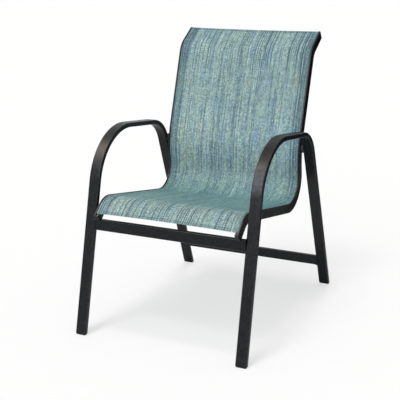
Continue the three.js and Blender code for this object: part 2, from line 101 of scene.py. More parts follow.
class ChairFrameSizes(PropertyGroup):
    spacing: size("Frame spacing", 541, "Centre to centre of the side frames at the floor")
    tube_width: size("Tube width", 35.6, "Flat tube of the side frames, across the chair")
    tube_depth: size("Tube depth", 15.3, "Flat tube of the side frames, in the plane of the bends")
    tube_corner: size("Tube corner", 3.6, "Corner radius of the side frame tube")
    tube_wall: size("Tube wall", 1.2, "Wall of the side frame tube")
    lean: slope("Frame lean", 0.34, "How much each side frame leans towards the sitter, going up")
    foot_distance: size("Foot distance", 744.3, "Front foot to rear foot")
    front_leg_lean: slope("Front leg lean", 12.9, "Front leg, from the vertical")
    rear_leg_lean: slope("Rear leg lean", 20.65, "Rear leg, from the vertical")
    arm_corner_height: size("Arm height", 628, "Height where the lines of front leg and arm meet")
    arm_fall: slope("Arm fall", 6.62, "Fall of the arm towards the rear")
    front_bend: size("Front bend", 181.4, "Radius of the bend from front leg to arm")
    rear_bend: size("Rear bend", 108.6, "Radius of the bend from arm to rear leg")
    bar_depth: size("Bar depth", 15.3, "Cross bars, front to back")
    bar_corner: size("Bar corner", 2.6, "Corner radius of the cross bars")
    bar_wall: size("Bar wall", 1.2, "Wall of the cross bars")
    front_bar_height: size("Front bar height", 34.6, "Upright size of the front cross bar")
    rear_bar_height: size("Rear bar height", 32.6, "Upright size of the rear cross bar")
    front_bar_level: size("Front bar level", 340.5, "Centre line of the front bar above the floor")
    rear_bar_level: size("Rear bar level", 96.4, "Centre line of the rear bar above the floor")
    front_bar_forward: size("Front bar forward", 3.7, "Front bar before the leg's centre line")
    weld: size("Weld bead", 2.2, "Radius of the weld beads")
    glide_flange: size("Glide flange", 4, "Part of a glide below the leg")
    glide_inset: size("Glide inset", 0.4, "How far a glide stays inside the leg's outline")
    glide_plug: size("Glide plug", 22, "Part of a glide inside the leg")


class ChairRailSizes(PropertyGroup):
    width: size("Rail width", 14, "Sling rail, across the chair")
    depth: size("Rail depth", 28, "Sling rail, square to the fabric")
    corner: size("Rail corner", 2, "Corner radius of the rail")
    wall: size("Rail wall", 1.4, "Wall of the rail")
    front_drop: slope("Front drop", 41.9, "Slope of the rail's front end")
    seat_fall: slope("Seat fall", 10.25, "Fall of the seat towards the rear")
    lower_back_lean: slope("Lower back lean", -5.9, "Lower back, from the vertical, rearwards")
    upper_back_lean: slope("Upper back lean", 18.3, "Upper back, from the vertical, rearwards")
    top_curl_lean: slope("Top curl lean", 57.4, "Top end, from the vertical, rearwards")
    front_overhang: size("Front overhang", 5.4, "Rail end to its point of rest on the front bar")
    front_rise: size("Front rise", 66.1, "Point of rest to the corner of drop and seat")
    seat_length: size("Seat length", 462.1, "Between the corners where the straights meet")
    lower_back_length: size("Lower back length", 190, "Between the corners")
    upper_back_length: size("Upper back length", 325.9, "Between the corners")
    top_curl_length: size("Top curl length", 92, "Last corner to the rail's end")
    knee: size("Knee bend", 54.8, "Radius at the front of the seat")
    hip: size("Hip bend", 86.7, "Radius from seat to back")
    lumbar: size("Lumbar bend", 257, "Radius in the back")
    curl: size("Curl bend", 60.3, "Radius at the top")
    groove_edge: size("Groove edge", 4.8, "Outer face of the rail to the groove's mouth")
    groove_mouth: size("Groove mouth", 2.9, "Width of the groove's mouth")
    groove_lip: size("Groove lip", 1.9, "Thickness of the lips beside the mouth")
    groove_bore: size("Groove bore", 8, "Diameter of the groove's bore")
    inner_drop: size("Inner lip drop", 3, "How much lower the rail is on the cloth's side of the groove")
    underside: size("Underside", 1.5, "How much lower the rail's rounded underside lies than a plain box")
    cap_thickness: size("Cap thickness", 2.2, "Part of an end cap outside the rail")
    cap_inset: size("Cap inset", 0.25, "How far a cap stays inside the rail's outline")
    cap_plug: size("Cap plug", 12, "Part of an end cap inside the rail")
    spacer_length: size("Spacer length", 9.3, "Holds the rail away from the side frame")
    spacer_rise: size("Spacer rise", 12, "How much further a spacer reaches up than down")
    spreader_width: size("Spreader width", 25.4, "Spreader bars, along the rail")
    spreader_depth: size("Spreader depth", 12.7, "Spreader bars, square to the fabric")
    spreader_under: size("Spreader drop", 14, "Fabric side of the rail to a spreader bar")
    seat_spreader: share_of("Seat spreader place", 0.52, "Place along the straight of the seat")
    back_spreader: share_of("Back spreader place", 0.6, "Place along the straight of the upper back")


class ChairSlingSizes(PropertyGroup):
    ply: size("Cloth", 0.6, "Thickness of one ply of the sling")
    rod: size("Hem rod", 4.4, "Diameter of the rods in the side hems")
    side_hem: size("Side hem", 25, "Width of the doubled side hems")
    end_hem: size("End hem", 11, "Width of the doubled hems at front and top")
    front_setback: size("Front setback", 11.5, "Rail end to cloth edge, at the rails")
    front_hollow: size("Front hollow", 3, "How much further back the front edge lies in the middle")
    top_setback: size("Top setback", 1.5, "Rail end to cloth edge at the top, at the rails")
    top_hollow: size("Top hollow", 3, "How much lower the top edge lies in the middle")
    knee_dip: size("Knee dip", 3, "How far tension pulls the cloth in at the front of the seat")
    hip_rise: size("Hip rise", 4, "How far tension lifts the cloth out of the seat's rear bend")
    curl_dip: size("Curl dip", 2.5, "How far tension pulls the cloth in at the top curl")
    stitch: size("Stitch", 5, "Length of one stitch and its gap")
    thread: size("Thread", 0.9, "Diameter of the sewing thread")


class ChairColours(PropertyGroup):
    paint: colour("Powder coat", "#090c10", "Black powder coat")
    rubbed_paint: colour("Rubbed powder coat", "#2a2b2d", "Powder coat where it is rubbed")
    plastic: colour("Black plastic", "#0b0d0f", "Moulded glides, caps and spacers")
    zinc: colour("Plating", "#4a4c4f", "Black-passivated zinc of the fasteners")
    dull_zinc: colour("Dull plating", "#2e3032", "Clouds in the plating")
    rod: colour("Hem rod", "#c9cbc8", "Extruded rods in the side hems")
    rod_shade: colour("Hem rod lines", "#b4b7b4", "Die lines along the hem rods")
    thread: colour("Thread", "#41687a", "Sewing thread")
    thread_shade: colour("Thread twist", "#2c4c5f", "Shaded side of the thread's twist")
    blue: colour("Blue yarn", "#84a1b3", "Blue stretches of the warp yarns")
    teal: colour("Teal yarn", "#94b1b0", "Teal stretches of the warp yarns")
    sage: colour("Sage yarn", "#a0b6ab", "Sage green stretches of the warp yarns")
    cream: colour("Cream yarn", "#bdcfcd", "Pale flecks of the warp yarns")
    deep_blue: colour("Deep blue yarn", "#35576c", "Dark flecks of the warp yarns")
    weft: colour("Weft yarn", "#8aa8a7", "Crosswise yarns")
    # Painted shade over the seat's cloth, between its front edge and the back
    painted_seat_shade: colour("Seat shade", "#cfe6e7", "Multiplies the cloth where the weft shows most")
    # Painted shade over the doubled hems, and a painted shadow along the side seams
    hem_shade: colour("Hem shade", "#ccd6dd", "Multiplies the cloth where it is doubled")
    floor: colour("Floor", "#fcfcfb", "Studio floor")


# Lines in side view. A side view point is (Y from the front foot, Z).

def heading(angle):
    """Unit vector at an angle above the horizontal, pointing rearwards."""
    return np.array([math.cos(angle), math.sin(angle)])


def left_of(along):
    """The left-hand normal: each direction turned a quarter turn, (y, z) to (-z, y)."""
    return np.stack([-along[..., 1], along[..., 0]], axis=-1)


def cross(m, n):
    """The cross product of vectors in a plane, m1 n2 - m2 n1."""
    return m[..., 0] * n[..., 1] - m[..., 1] * n[..., 0]


def crossing(p, a, q, b):
    """Where p + s a meets q + t b: s is (q - p) cross b over a cross b."""
    return p + a * cross(q - p, b) / cross(a, b)


class Line:
    """Straight runs joined by circular bends: the place and the heading at each length along it."""

    def __init__(self, corners, radii, step=BEND_STEP):
        corners = [np.asarray(c, float) for c in corners]
        runs = [(b - a) / np.linalg.norm(b - a) for a, b in zip(corners, corners[1:])]
        angles = [math.atan2(r[1], r[0]) for r in runs]
        places, turns = [corners[0][None]], [np.array([angles[0]])]
        for corner, radius, before, after in zip(corners[1:-1], radii, angles, angles[1:]):
            turn = (after - before + math.pi) % (2 * math.pi) - math.pi
            side = math.copysign(1, turn)
            count = max(2, math.ceil(abs(turn) / step))
            bend = before + turn * np.linspace(0, 1, count + 1)
            start = corner - heading(before) * radius * math.tan(abs(turn) / 2)
            centre = start + side * radius * left_of(heading(before))
            tangent = np.stack([np.cos(bend), np.sin(bend)], axis=-1)
            places.append(centre - side * radius * left_of(tangent))
            turns.append(bend)
        places.append(corners[-1][None])
        turns.append(np.array([angles[-1]]))
        self.places = np.concatenate(places)
        self.turns = np.unwrap(np.concatenate(turns))
        steps = np.linalg.norm(np.diff(self.places, axis=0), axis=1)
        self.lengths = np.concatenate([[0], np.cumsum(steps)])

    @property
    def total(self):
        return self.lengths[-1]

    def at(self, lengths):
        """Places and headings at lengths along the line, linear between its own samples."""
        place = np.stack([np.interp(lengths, self.lengths, self.places[:, k]) for k in (0, 1)], -1)
        turn = np.interp(lengths, self.lengths, self.turns)
        return place, np.stack([np.cos(turn), np.sin(turn)], axis=-1)

    def between(self, start, end):
        """The line's own samples between two lengths, with both ends added."""
        own = self.lengths[(self.lengths > start + MM) & (self.lengths < end - MM)]
        return np.concatenate([[start], own, [end]])


# Outlines. An outline is an array of (a, b) points, counter-clockwise.

def arc(a, b, radius, start, end, steps):
    """Points on a circle about (a, b), between two angles in degrees."""
    t = np.radians(np.linspace(start, end, steps + 1))
    return np.stack([a + radius * np.cos(t), b + radius * np.sin(t)], axis=-1)


def rounded_box(a, b, width, depth, radius, steps=CORNER_STEPS):
    """Four quarter circles, whose centres lie a radius inside the box's corners."""
    da, db = width / 2 - radius, depth / 2 - radius
    return np.concatenate([
        arc(a + da, b - db, radius, -90, 0, steps),
        arc(a + da, b + db, radius, 0, 90, steps),
        arc(a - da, b + db, radius, 90, 180, steps),
        arc(a - da, b - db, radius, 180, 270, steps),
    ])


def mirrored(outline):
    """The outline with its a negated, and turned round so that it still runs counter-clockwise."""
    return (outline * [-1, 1])[::-1]


def smoothed(points):
    """Corner cutting: each side is replaced by the points a quarter and three quarters along it."""
    a, b = points[:-1], points[1:]
    cut = np.stack([0.75 * a + 0.25 * b, 0.25 * a + 0.75 * b], axis=1).reshape(-1, points.shape[1])
    return np.concatenate([points[:1], cut, points[-1:]])


# Surfaces. A patch is (points, list of faces).

def wall(rows, columns, first=0, closed_rows=False):
    """Quads between neighbouring closed rings, point j of row i being first + i columns + j."""
    i = np.arange(rows if closed_rows else rows - 1)[:, None]
    j = np.arange(columns)[None]
    here, there = i * columns, ((i + 1) % rows) * columns
    quads = np.stack([here + j, here + (j + 1) % columns, there + (j + 1) % columns, there + j], -1)
    return (quads.reshape(-1, 4) + first).tolist()


def closed_ring(points):
    """A patch from a ring of closed sections: rows of points, the last joined to the first."""
    return points.reshape(-1, 3), wall(*points.shape[:2], closed_rows=True)


def net(rows, columns, first=0):
    """Quads of an open grid, row by row."""
    i = np.arange(rows - 1)[:, None] * columns + np.arange(columns - 1)[None]
    return np.stack([i, i + 1, i + columns + 1, i + columns], -1).reshape(-1, 4) + first


def carried(stations, outline):
    """A profile carried along a path: each station's origin plus a times its A axis plus b times its B."""
    origin, a_axis, b_axis = stations
    flat = outline if outline.ndim == 3 else np.broadcast_to(outline, (len(origin), *outline.shape))
    return origin[:, None] + flat[..., :1] * a_axis[:, None] + flat[..., 1:] * b_axis[:, None]


def tube(rings, outline, bores, hollow):
    """Walls along the rings of the outside and the hollow, and flat faces between them at both ends."""
    rows, columns, inner = len(rings), len(outline), len(hollow)
    first = rows * columns
    points = np.concatenate([rings.reshape(-1, 3), bores[:, ::-1].reshape(-1, 3)])
    start = np.concatenate([np.arange(columns), first + np.arange(inner)])
    end = start + (rows - 1) * np.repeat([columns, inner], [columns, inner])
    flat = [np.pad(ring, ((0, 0), (0, 1))) for ring in (outline, hollow[::-1])]
    triangles = np.array(tessellate_polygon(flat))
    p, q, r = np.concatenate(flat)[triangles].transpose(1, 0, 2)
    clockwise = np.cross(q - p, r - p)[:, 2] < 0
    triangles[clockwise] = triangles[clockwise][:, ::-1]
    ends = start[triangles][:, ::-1].tolist() + end[triangles].tolist()
    return points, wall(rows, columns) + wall(rows, inner, first) + ends


def plugged(rings):
    """A closed solid from rings of equal count: walls between them and a many-sided face at each end."""
    rows, columns = rings.shape[:2]
    ends = [list(range(columns))[::-1], list(range((rows - 1) * columns, rows * columns))]
    return rings.reshape(-1, 3), wall(rows, columns) + ends


def turn_angles():
    """The angles at which a turned shape is worked out, even all round."""
    return np.linspace(0, 2 * math.pi, TURN_STEPS, endpoint=False)


def turned(profile, at, side, shape=1):
    """A profile of (radius, x) turned about an axis along X through a side view point.

    The radius may be scaled by a shape of rows by angles.
    """
    angles = turn_angles()
    radius = profile[:, :1] * (shape * np.ones((1, TURN_STEPS)))
    x = np.broadcast_to(side * profile[:, 1:], radius.shape)
    return np.stack([x, at[0] + radius * np.cos(angles), at[1] + radius * np.sin(angles)], -1)


def hexagon():
    """Distance of a hexagon's edge at each angle, as a share of its corner's: cos 30 over cos of the rest."""
    return math.cos(math.pi / 6) / np.cos((turn_angles() % (math.pi / 3)) - math.pi / 6)


# Objects

def piece(name, patch, finish, *stands_for, smooth_below=35, uv=None, attributes=None):
    """Makes a mesh object that stands for CAD nodes, with its faces turned outwards."""
    points, faces = patch
    mesh = bpy.data.meshes.new(name)
    mesh.from_pydata(points.tolist(), [], faces)
    if mesh.validate():
        raise RuntimeError(f"{name}: the mesh had faults")
    if signed_volume(mesh) < 0:
        mesh.flip_normals()
    mesh.shade_smooth()
    mesh.set_sharp_from_angle(angle=math.radians(smooth_below))
    if uv is not None:
        layer = mesh.uv_layers.new(name="Cloth")
        corner = np.zeros(len(mesh.loops), np.int32)
        mesh.loops.foreach_get("vertex_index", corner)
        layer.data.foreach_set("uv", uv[corner].astype(np.float32).ravel())
    for key, values in (attributes or {}).items():
        mesh.attributes.new(key, "FLOAT", "POINT").data.foreach_set("value", values.astype(np.float32))
    mesh.materials.append(finished(finish))
    made = bpy.data.objects.new(name, mesh)
    bpy.context.scene.collection.objects.link(made)
    made.modifiers.new("Even shading", "WEIGHTED_NORMAL").keep_sharp = True
    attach(made, "root")
    if stands_for:
        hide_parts(*stands_for)
    return made


def signed_volume(mesh):
    """A sixth of the sum of a dot (b cross c) over the triangles."""
    mesh.calc_loop_triangles()
    index = np.zeros(len(mesh.loop_triangles) * 3, np.int32)
    mesh.loop_triangles.foreach_get("vertices", index)
    place = np.zeros(len(mesh.vertices) * 3)
    mesh.vertices.foreach_get("co", place)
    a, b, c = place.reshape(-1, 3)[index.reshape(-1, 3)].transpose(1, 0, 2)
    return float(np.einsum("ij,ij->", a, np.cross(b, c))) / 6


def side_stations(place, along):
    """Stations in side view: the A axis is the chair's X, the B axis the line's left-hand normal."""
    normal = left_of(along)
    zero = np.zeros(len(place))
    origin = np.stack([zero, place[:, 0] - CHAIR_LENGTH_MIDDLE, place[:, 1]], axis=-1)
    a_axis = np.broadcast_to([1.0, 0.0, 0.0], origin.shape)
    return origin, a_axis, np.stack([zero, normal[:, 0], normal[:, 1]], axis=-1)


def outline_normals(outline):
    """The outline's outward normals: the chord between both neighbours, turned a quarter turn right."""
    chord = np.roll(outline, -1, axis=0) - np.roll(outline, 1, axis=0)
    normal = np.stack([chord[:, 1], -chord[:, 0]], axis=-1)
    return normal / np.linalg.norm(normal, axis=1, keepdims=True)


def shrunk(outline, amounts):
    """The outline moved inwards along its normals, once for each amount."""
    return outline[None] - outline_normals(outline)[None] * np.asarray(amounts)[:, None, None]


def corner_wear(patch, outline):
    """1 on the outside's corner arcs, 0 on its flats and in the hollow: where the outline turns."""
    before, after = outline - np.roll(outline, 1, axis=0), np.roll(outline, -1, axis=0) - outline
    turn = np.abs(cross(before, after))
    turn /= np.linalg.norm(before, axis=1) * np.linalg.norm(after, axis=1)
    on_arc = (turn > CORNER_TURN).astype(float)
    count = len(patch[0])
    worn = np.zeros(count)
    whole = count // len(outline) * len(outline)
    worn[:whole] = np.tile(on_arc, whole // len(outline))
    return worn


# The chair's lines, from its sizes

def sizes():
    """The sizes of the frame, the rails and the sling."""
    scene = bpy.context.scene
    return scene.chair_frame, scene.chair_rail, scene.chair_sling


def frame_layout():
    """Side view points of the side frame and the cross bars."""
    f = sizes()[0]
    leg_up = heading(math.pi / 2 - f.front_leg_lean)
    rear_up = heading(math.pi / 2 + f.rear_leg_lean)
    front, rear = np.zeros(2), np.array([f.foot_distance, 0])
    corner = leg_up * f.arm_corner_height / leg_up[1]
    back = crossing(corner, heading(-f.arm_fall), rear, rear_up)
    front_bar = leg_up * f.front_bar_level / leg_up[1] - [f.front_bar_forward, 0]
    rear_bar = rear + rear_up * f.rear_bar_level / rear_up[1]
    return {
        "leg_up": leg_up, "rear_up": rear_up, "front": front, "rear": rear,
        "corner": corner, "back": back, "front_bar": front_bar, "rear_bar": rear_bar,
    }


FIT_GAP = 0.3 * MM  # round a plug, and under fabric
FACE_GAP = 0.1 * MM  # between flat faces that bear on each other
BOLT = 6.4 * MM
BOLT_HOLE = 7 * MM
INSERT_RIM = 1 * MM
SPACER = 13 * MM
ROD_INSET = 2 * MM  # the cloth's edge to a hem rod's end
GLIDE_EDGE = 3.4 * MM
CAP_EDGE = 2 * MM
WASHER, WASHER_THICKNESS = 15 * MM, 1.3 * MM
BOLT_BEYOND = 10 * MM  # a bolt's end past the side frame's inner face
GROOVE_CLEAR = 8 * MM  # end hems and their seams stop this far short of the grooves
HEM_STEP, LIP = 1.5 * MM, 0.5 * MM  # over which a hem's thickness and the cloth's edge taper
PARALLEL = 1e-15  # sides whose cross product is smaller don't meet


def rail_corners():
    """Corners of the rail's centre line; it rests on the round upper front edge of the front bar."""
    f, r, _ = sizes()
    bar = frame_layout()["front_bar"]
    edge = bar + [f.bar_corner - f.bar_depth / 2, f.front_bar_height / 2 - f.bar_corner]
    drop = heading(r.front_drop)
    rest = edge + left_of(drop) * (f.bar_corner + FIT_GAP + r.depth / 2)
    runs = (
        (r.seat_length, -r.seat_fall),
        (r.lower_back_length, math.pi / 2 - r.lower_back_lean),
        (r.upper_back_length, math.pi / 2 - r.upper_back_lean),
        (r.top_curl_length, math.pi / 2 - r.top_curl_lean),
    )
    corners = [rest - drop * r.front_overhang, rest + drop * r.front_rise]
    for length, angle in runs:
        corners.append(corners[-1] + heading(angle) * length)
    return corners


def rail_line():
    """The centre line of a sling rail, from its front end to its top end."""
    r = sizes()[1]
    return Line(rail_corners(), [r.knee, r.hip, r.lumbar, r.curl])


def rail_places():
    """Places across the chair and across the rail that its fittings share."""
    f, r, _ = sizes()
    under_groove = r.depth / 2 - r.groove_lip - r.groove_bore
    bolt_b = under_groove - r.wall / 2 - BOLT_HOLE / 2
    bore_b = under_groove + r.groove_bore / 2 - r.inner_drop
    cell_top = under_groove - r.inner_drop - r.wall
    cell_bottom = r.wall - r.depth / 2
    rail = rail_line()
    place, along = rail.at(rail.between(0, rail.total))
    bolt = last_meeting(place + left_of(along) * bolt_b, side_frame_line().places)
    face = f.spacing / 2 - f.tube_width / 2 - math.tan(f.lean) * (bolt[1] + SPACER / 2)
    spacer_end = face - INSERT_RIM - 2 * FACE_GAP
    rail_face = spacer_end - r.spacer_length - FACE_GAP
    return {
        "bore_b": bore_b, "cell_b": (cell_top + cell_bottom) / 2, "cell_depth": cell_top - cell_bottom,
        "cell_width": r.width - 2 * r.wall, "bolt": bolt, "face": face, "spacer_end": spacer_end,
        "rail_face": rail_face, "rail_back": rail_face - r.width, "rail_x": rail_face - r.width / 2,
        "groove_x": rail_face - r.groove_edge - r.groove_mouth / 2,
    }


def last_meeting(line_a, line_b):
    """The last point where two broken lines cross, from the cross products of all pairs of sides."""
    a, b = np.diff(line_a, axis=0)[:, None], np.diff(line_b, axis=0)[None]
    gap = line_b[None, :-1] - line_a[:-1, None]
    area = cross(a, b)
    area = np.where(np.abs(area) < PARALLEL, np.nan, area)
    s, t = cross(gap, b) / area, cross(gap, a) / area
    i, j = np.nonzero((s >= 0) & (s <= 1) & (t >= 0) & (t <= 1))
    if len(i) == 0:
        raise RuntimeError("the rail doesn't cross the side frame")
    return line_a[i[-1]] + np.diff(line_a, axis=0)[i[-1]] * s[i[-1], j[-1]]


def side_frame_line():
    """The centre line of a side frame's tube; both ends reach below the floor, to be cut level."""
    f = sizes()[0]
    p = frame_layout()
    low = f.tube_depth
    return Line(
        [p["front"] - p["leg_up"] * low, p["corner"], p["back"], p["rear"] - p["rear_up"] * low],
        [f.front_bend, f.rear_bend],
    )


def leaned(points, sign):
    """Shears points towards the middle: x falls by the height times the tangent of the lean."""
    f = sizes()[0]
    moved = points.copy()
    moved[..., 0] -= sign * math.tan(f.lean) * points[..., 2]
    return moved


def cut_level(rings, row, towards, level):
    """Slides one row of a tube along its own line until it lies at a level."""
    a, b = rings[row], rings[towards]
    step = (level - a[:, 2:]) / (b[:, 2:] - a[:, 2:])
    rings[row] = a + (b - a) * step


# Materials

# What nodes are called here, with the setting that makes each what its name says. A range's inputs are the
# value, where its range starts and ends, and what it becomes there.
KINDS = {
    "coords": ("ShaderNodeTexCoord", {}),
    "attribute": ("ShaderNodeAttribute", {}),
    "point": ("ShaderNodeCombineXYZ", {}),
    "bump": ("ShaderNodeBump", {}),
    "range": ("ShaderNodeMapRange", {}),
    "smooth_range": ("ShaderNodeMapRange", {"interpolation_type": "SMOOTHSTEP"}),
    "noise": ("ShaderNodeTexNoise", {}),
    "flat_noise": ("ShaderNodeTexNoise", {"noise_dimensions": "2D"}),
    "chance_at": ("ShaderNodeTexWhiteNoise", {"noise_dimensions": "3D"}),
    "chance_of": ("ShaderNodeTexWhiteNoise", {"noise_dimensions": "1D"}),
    "mix": ("ShaderNodeMix", {"data_type": "RGBA"}),
    "scale": ("ShaderNodeVectorMath", {"operation": "SCALE"}),
    "tint": ("ShaderNodeVectorMath", {"operation": "MULTIPLY"}),
}
SUMS = {
    "plus": "ADD", "minus": "SUBTRACT", "times": "MULTIPLY", "times_plus": "MULTIPLY_ADD",
    "larger": "MAXIMUM", "size": "ABSOLUTE", "sign": "SIGN", "floor": "FLOOR", "sine": "SINE",
    "above": "GREATER_THAN", "below": "LESS_THAN", "near": "COMPARE",
}
KINDS |= {word: ("ShaderNodeMath", {"operation": operation}) for word, operation in SUMS.items()}
WHITE = "#ffffff"

PEEL = 5 * MM  # a powder coat's orange peel is about 1 mm; coarser here, so that it shows
PAINT_CLOUD = 9 * MM  # patches of thicker and thinner powder
GRAIN = 1.5 * MM  # a spark-eroded mould's grain is about 0.2 mm; coarser here, so that it shows
PLATING_CLOUD = 3 * MM  # patches of thicker and thinner film
DIE_LINE = 0.6 * MM  # die lines lie about 0.1 mm apart; coarser here, so that they show
TWIST = 0.8 * MM  # one turn of the thread's plies
STRAND = 3.4 * MM  # a strand is about 1 mm wide; coarser here, so that it shows
WAVE_SHARE = 0.6  # how much of a strand's height is its wave over and under the others
HEM_EDGE = 206.5 * MM  # the middle of the sling to a side hem's inner edge, across the cloth
HUE_REACH = 0.26  # how far the hue field goes from teal to plain blue or plain sage


def supply(tree, made, inputs):
    """Gives a node its inputs: a node or a socket is linked, and any other value is set."""
    for key, value in inputs.items():
        if isinstance(value, bpy.types.Node):
            value = next(socket for socket in value.outputs if socket.enabled)
        if isinstance(value, bpy.types.NodeSocket):
            tree.links.new(value, made.inputs[key])
        else:
            made.inputs[key].default_value = value


def node(tree, kind, *inputs, **named):
    """Adds a node, called as in KINDS or by Blender's own name.

    Inputs come in their order, or by a name with a capital; a name in small letters is a setting.
    """
    kind, own = KINDS.get(kind, (kind, {}))
    made = tree.nodes.new(kind)
    inputs = dict(enumerate(inputs))
    for key, value in {**own, **named}.items():
        if key[0].isupper():
            inputs[key] = value
        else:
            setattr(made, key, value)
    supply(tree, made, inputs)
    return made


def material(name, surface):
    """Returns a material, what adds a node to it, and what gives its Principled shader more inputs."""
    made = bpy.data.materials.new(name)
    made.use_nodes = True
    tree = made.node_tree
    tree.nodes.clear()
    shader = node(tree, "ShaderNodeBsdfPrincipled")
    supply(tree, shader, surface)
    node(tree, "ShaderNodeOutputMaterial", Surface=shader)
    return made, partial(node, tree), partial(supply, tree, shader)


def powder_coat(name, colours):
    """Steel tube, sprayed with polyester powder and baked: a black skin with a soft gloss and a faint
    orange peel, smoother and greyer where hands and stacking rub the tube's corners."""
    made, add, feed = material(name, {"IOR": 1.5, "Specular IOR Level": 0.195})
    place = add("coords").outputs["Object"]
    peel = add("noise", Vector=place, Scale=1 / PEEL, Detail=2.0)
    cloud = add("noise", Vector=place, Scale=1 / PAINT_CLOUD, Detail=4.0)
    corner = add("attribute", attribute_name="edge").outputs["Fac"]
    rub = add("times", corner, cloud)
    rough = add("range", cloud, 0.3, 0.7, 0.26, 0.48)
    rough = add("times_plus", rub, -0.1, rough)
    haze = add("range", cloud, 0.42, 0.62, 0, 0.2)
    worn = add("plus", rub, haze)
    tone = add("mix", Factor=worn, A=colours.paint, B=colours.rubbed_paint)
    skin = add("bump", Height=peel, Strength=0.5, Distance=0.4 * MM)
    feed({"Base Color": tone, "Roughness": rough, "Normal": skin})
    return made


def moulded_plastic(name, colours):
    """Injection-moulded polypropylene: dull black with the fine grain of a spark-eroded mould."""
    made, add, feed = material(name, {"IOR": 1.49, "Specular IOR Level": 0.3, "Roughness": 0.55})
    grain = add("noise", Vector=add("coords").outputs["Object"], Scale=1 / GRAIN, Detail=3.0)
    part = add("range", grain, 0.35, 0.8, 0, 0.35)
    tone = add("mix", Factor=part, A=colours.plastic, B=colours.rubbed_paint)
    skin = add("bump", Height=grain, Strength=0.3, Distance=0.05 * MM)
    feed({"Base Color": tone, "Normal": skin})
    return made


def zinc_plate(name, colours):
    """Cold-formed steel, zinc-plated and black-passivated: a dark metal, clouded where the film is thin."""
    made, add, feed = material(name, {"Metallic": 1.0})
    cloud = add("noise", Vector=add("coords").outputs["Object"], Scale=1 / PLATING_CLOUD, Detail=2.0)
    rough = add("range", cloud, 0, 1, 0.28, 0.45)
    tone = add("mix", Factor=cloud, A=colours.zinc, B=colours.dull_zinc)
    feed({"Base Color": tone, "Roughness": rough})
    return made


def extruded_rod(name, colours):
    """Extruded polyethylene rod: milky and waxy, with faint lines along it from the die."""
    made, add, feed = material(name, {"IOR": 1.51, "Roughness": 0.42})
    lines = add("ShaderNodeMapping", Vector=add("coords").outputs["Object"], Scale=(1 / DIE_LINE, 8, 8))
    streak = add("noise", Vector=lines, Scale=1.0, Detail=2.0)
    tone = add("mix", Factor=streak, A=colours.rod, B=colours.rod_shade)
    feed({"Base Color": tone})
    return made


def spun_thread(name, colours):
    """Twisted polyester sewing thread: soft, a shade darker than the cloth, with a fine twist."""
    made, add, feed = material(name, {"Roughness": 0.75, "Specular IOR Level": 0.25})
    twist = add("noise", Vector=add("coords").outputs["Object"], Scale=1 / TWIST)
    tone = add("mix", Factor=twist, A=colours.thread, B=colours.thread_shade)
    feed({"Base Color": tone})
    return made


# Noise across the cloth: (along which count or length, its scale), the same for the other way, and a shift
DYE = {
    "band": (("u", 1 / (9 * MM)), ("v", 1 / (90 * MM)), 3.1),  # stretches of one dye
    "drift": (("u", 1 / (140 * MM)), ("v", 1 / (260 * MM)), 41.7),  # slow change of hue over the sling
    "streak": (("column", 7.37), ("v", 1 / (45 * MM)), 11.3),  # each warp strand gets lighter and darker
    "strand": (("column", 3.93), ("v", 1 / (300 * MM)), 77.7),  # each warp strand has a tone of its own
    "pick": (("row", 5.77), ("u", 1 / (90 * MM)), 23.9),  # and so has each weft strand
}
# Fields that change smoothly over a stretch of the sling: the place that lengths are taken from, or None for
# the front edge, where the stretch starts and ends, all in metres, and the field's values before and after
PARTS = {
    "past_knee": (None, 0.07, 0.13, 0.0, 1.0),
    "before_back": (None, 0.4, 0.58, 1.0, 0.0),
    "calm_front": (None, 0.08, 0.2, 0.85, 1.0),
    # lower_back marks the lower back both for its bluer hue and for the painted light that LIGHTNESS adds there
    "lower_back": (0.66, 0.0, 0.16, 1.0, 0.0),
    "both_ends": (0.51, 0.3, 0.45, 0.1, 1.0),
}
# Fields that change the cloth's lightness: the values where each darkens and lightens it most, and its share
# The lower_back entry is painted light: it lifts the lower back and darkens the rest of the cloth a little.
LIGHTNESS = (
    ("streak", 0.3, 0.7, 0.09), ("strand", 0.3, 0.7, 0.09), ("pick", 0.3, 0.7, 0.08),
    ("cell", 0.0, 1.0, 0.34), ("warp_shows", 0.0, 1.0, 0.12), ("lower_back", 0.0, 1.0, 0.065),
)


def away(add, field, place):
    """How far a field is from a place: the size of their difference."""
    return add("size", add("minus", field, place))


def weave(add):
    """Fields of a plain weave: places on the cloth, numbers of strands, and which strand shows.

    The cloth's own map gives metres across (u) and along (v); column and row are whole numbers of
    strands. A warp strand's height is its rounded back, the size of sin(pi u / strand), plus WAVE_SHARE
    of its wave over and under the weft, sin(pi v / strand) with the sign of its column; the weft's is the
    same turned round and reversed, and the higher one shows.
    """
    split = add("ShaderNodeSeparateXYZ", add("ShaderNodeUVMap", uv_map="Cloth"))
    fields = {"u": split.outputs[0], "v": split.outputs[1]}
    counts, waves, signs, backs = [], [], [], []
    for key, strand in (("u", "column"), ("v", "row")):
        counts.append(add("times", fields[key], 1 / STRAND))
        fields[strand] = add("floor", counts[-1])
        waves.append(add("sine", add("times", counts[-1], math.pi)))
        signs.append(add("sign", waves[-1]))
        backs.append(add("size", waves[-1]))
    heights, floats = [], []
    for own, other, way in ((0, 1, 1), (1, 0, -1)):  # warp, then weft
        wave = add("times", signs[own], waves[other])
        heights.append(add("times_plus", wave, way * WAVE_SHARE, backs[own]))
        # Each stretch of a strand that shows is two strands long, and its neighbours' start one later
        stretch = add("times_plus", signs[own], way * 0.5, counts[other])
        stretch = add("floor", add("times", stretch, 0.5))
        floats.append(add("point", fields[("column", "row")[own]], stretch, own))
    fields["height"] = add("larger", heights[0], heights[1])
    lead = add("minus", heights[0], heights[1])
    fields["warp_shows"] = add("range", lead, -0.35, -0.15)
    cell = add("mix", Factor=add("above", lead, -0.25), A=floats[1], B=floats[0])
    fields["cell"] = add("chance_at", Vector=cell)
    fields["chance"] = add("chance_of", W=fields["column"])
    return fields


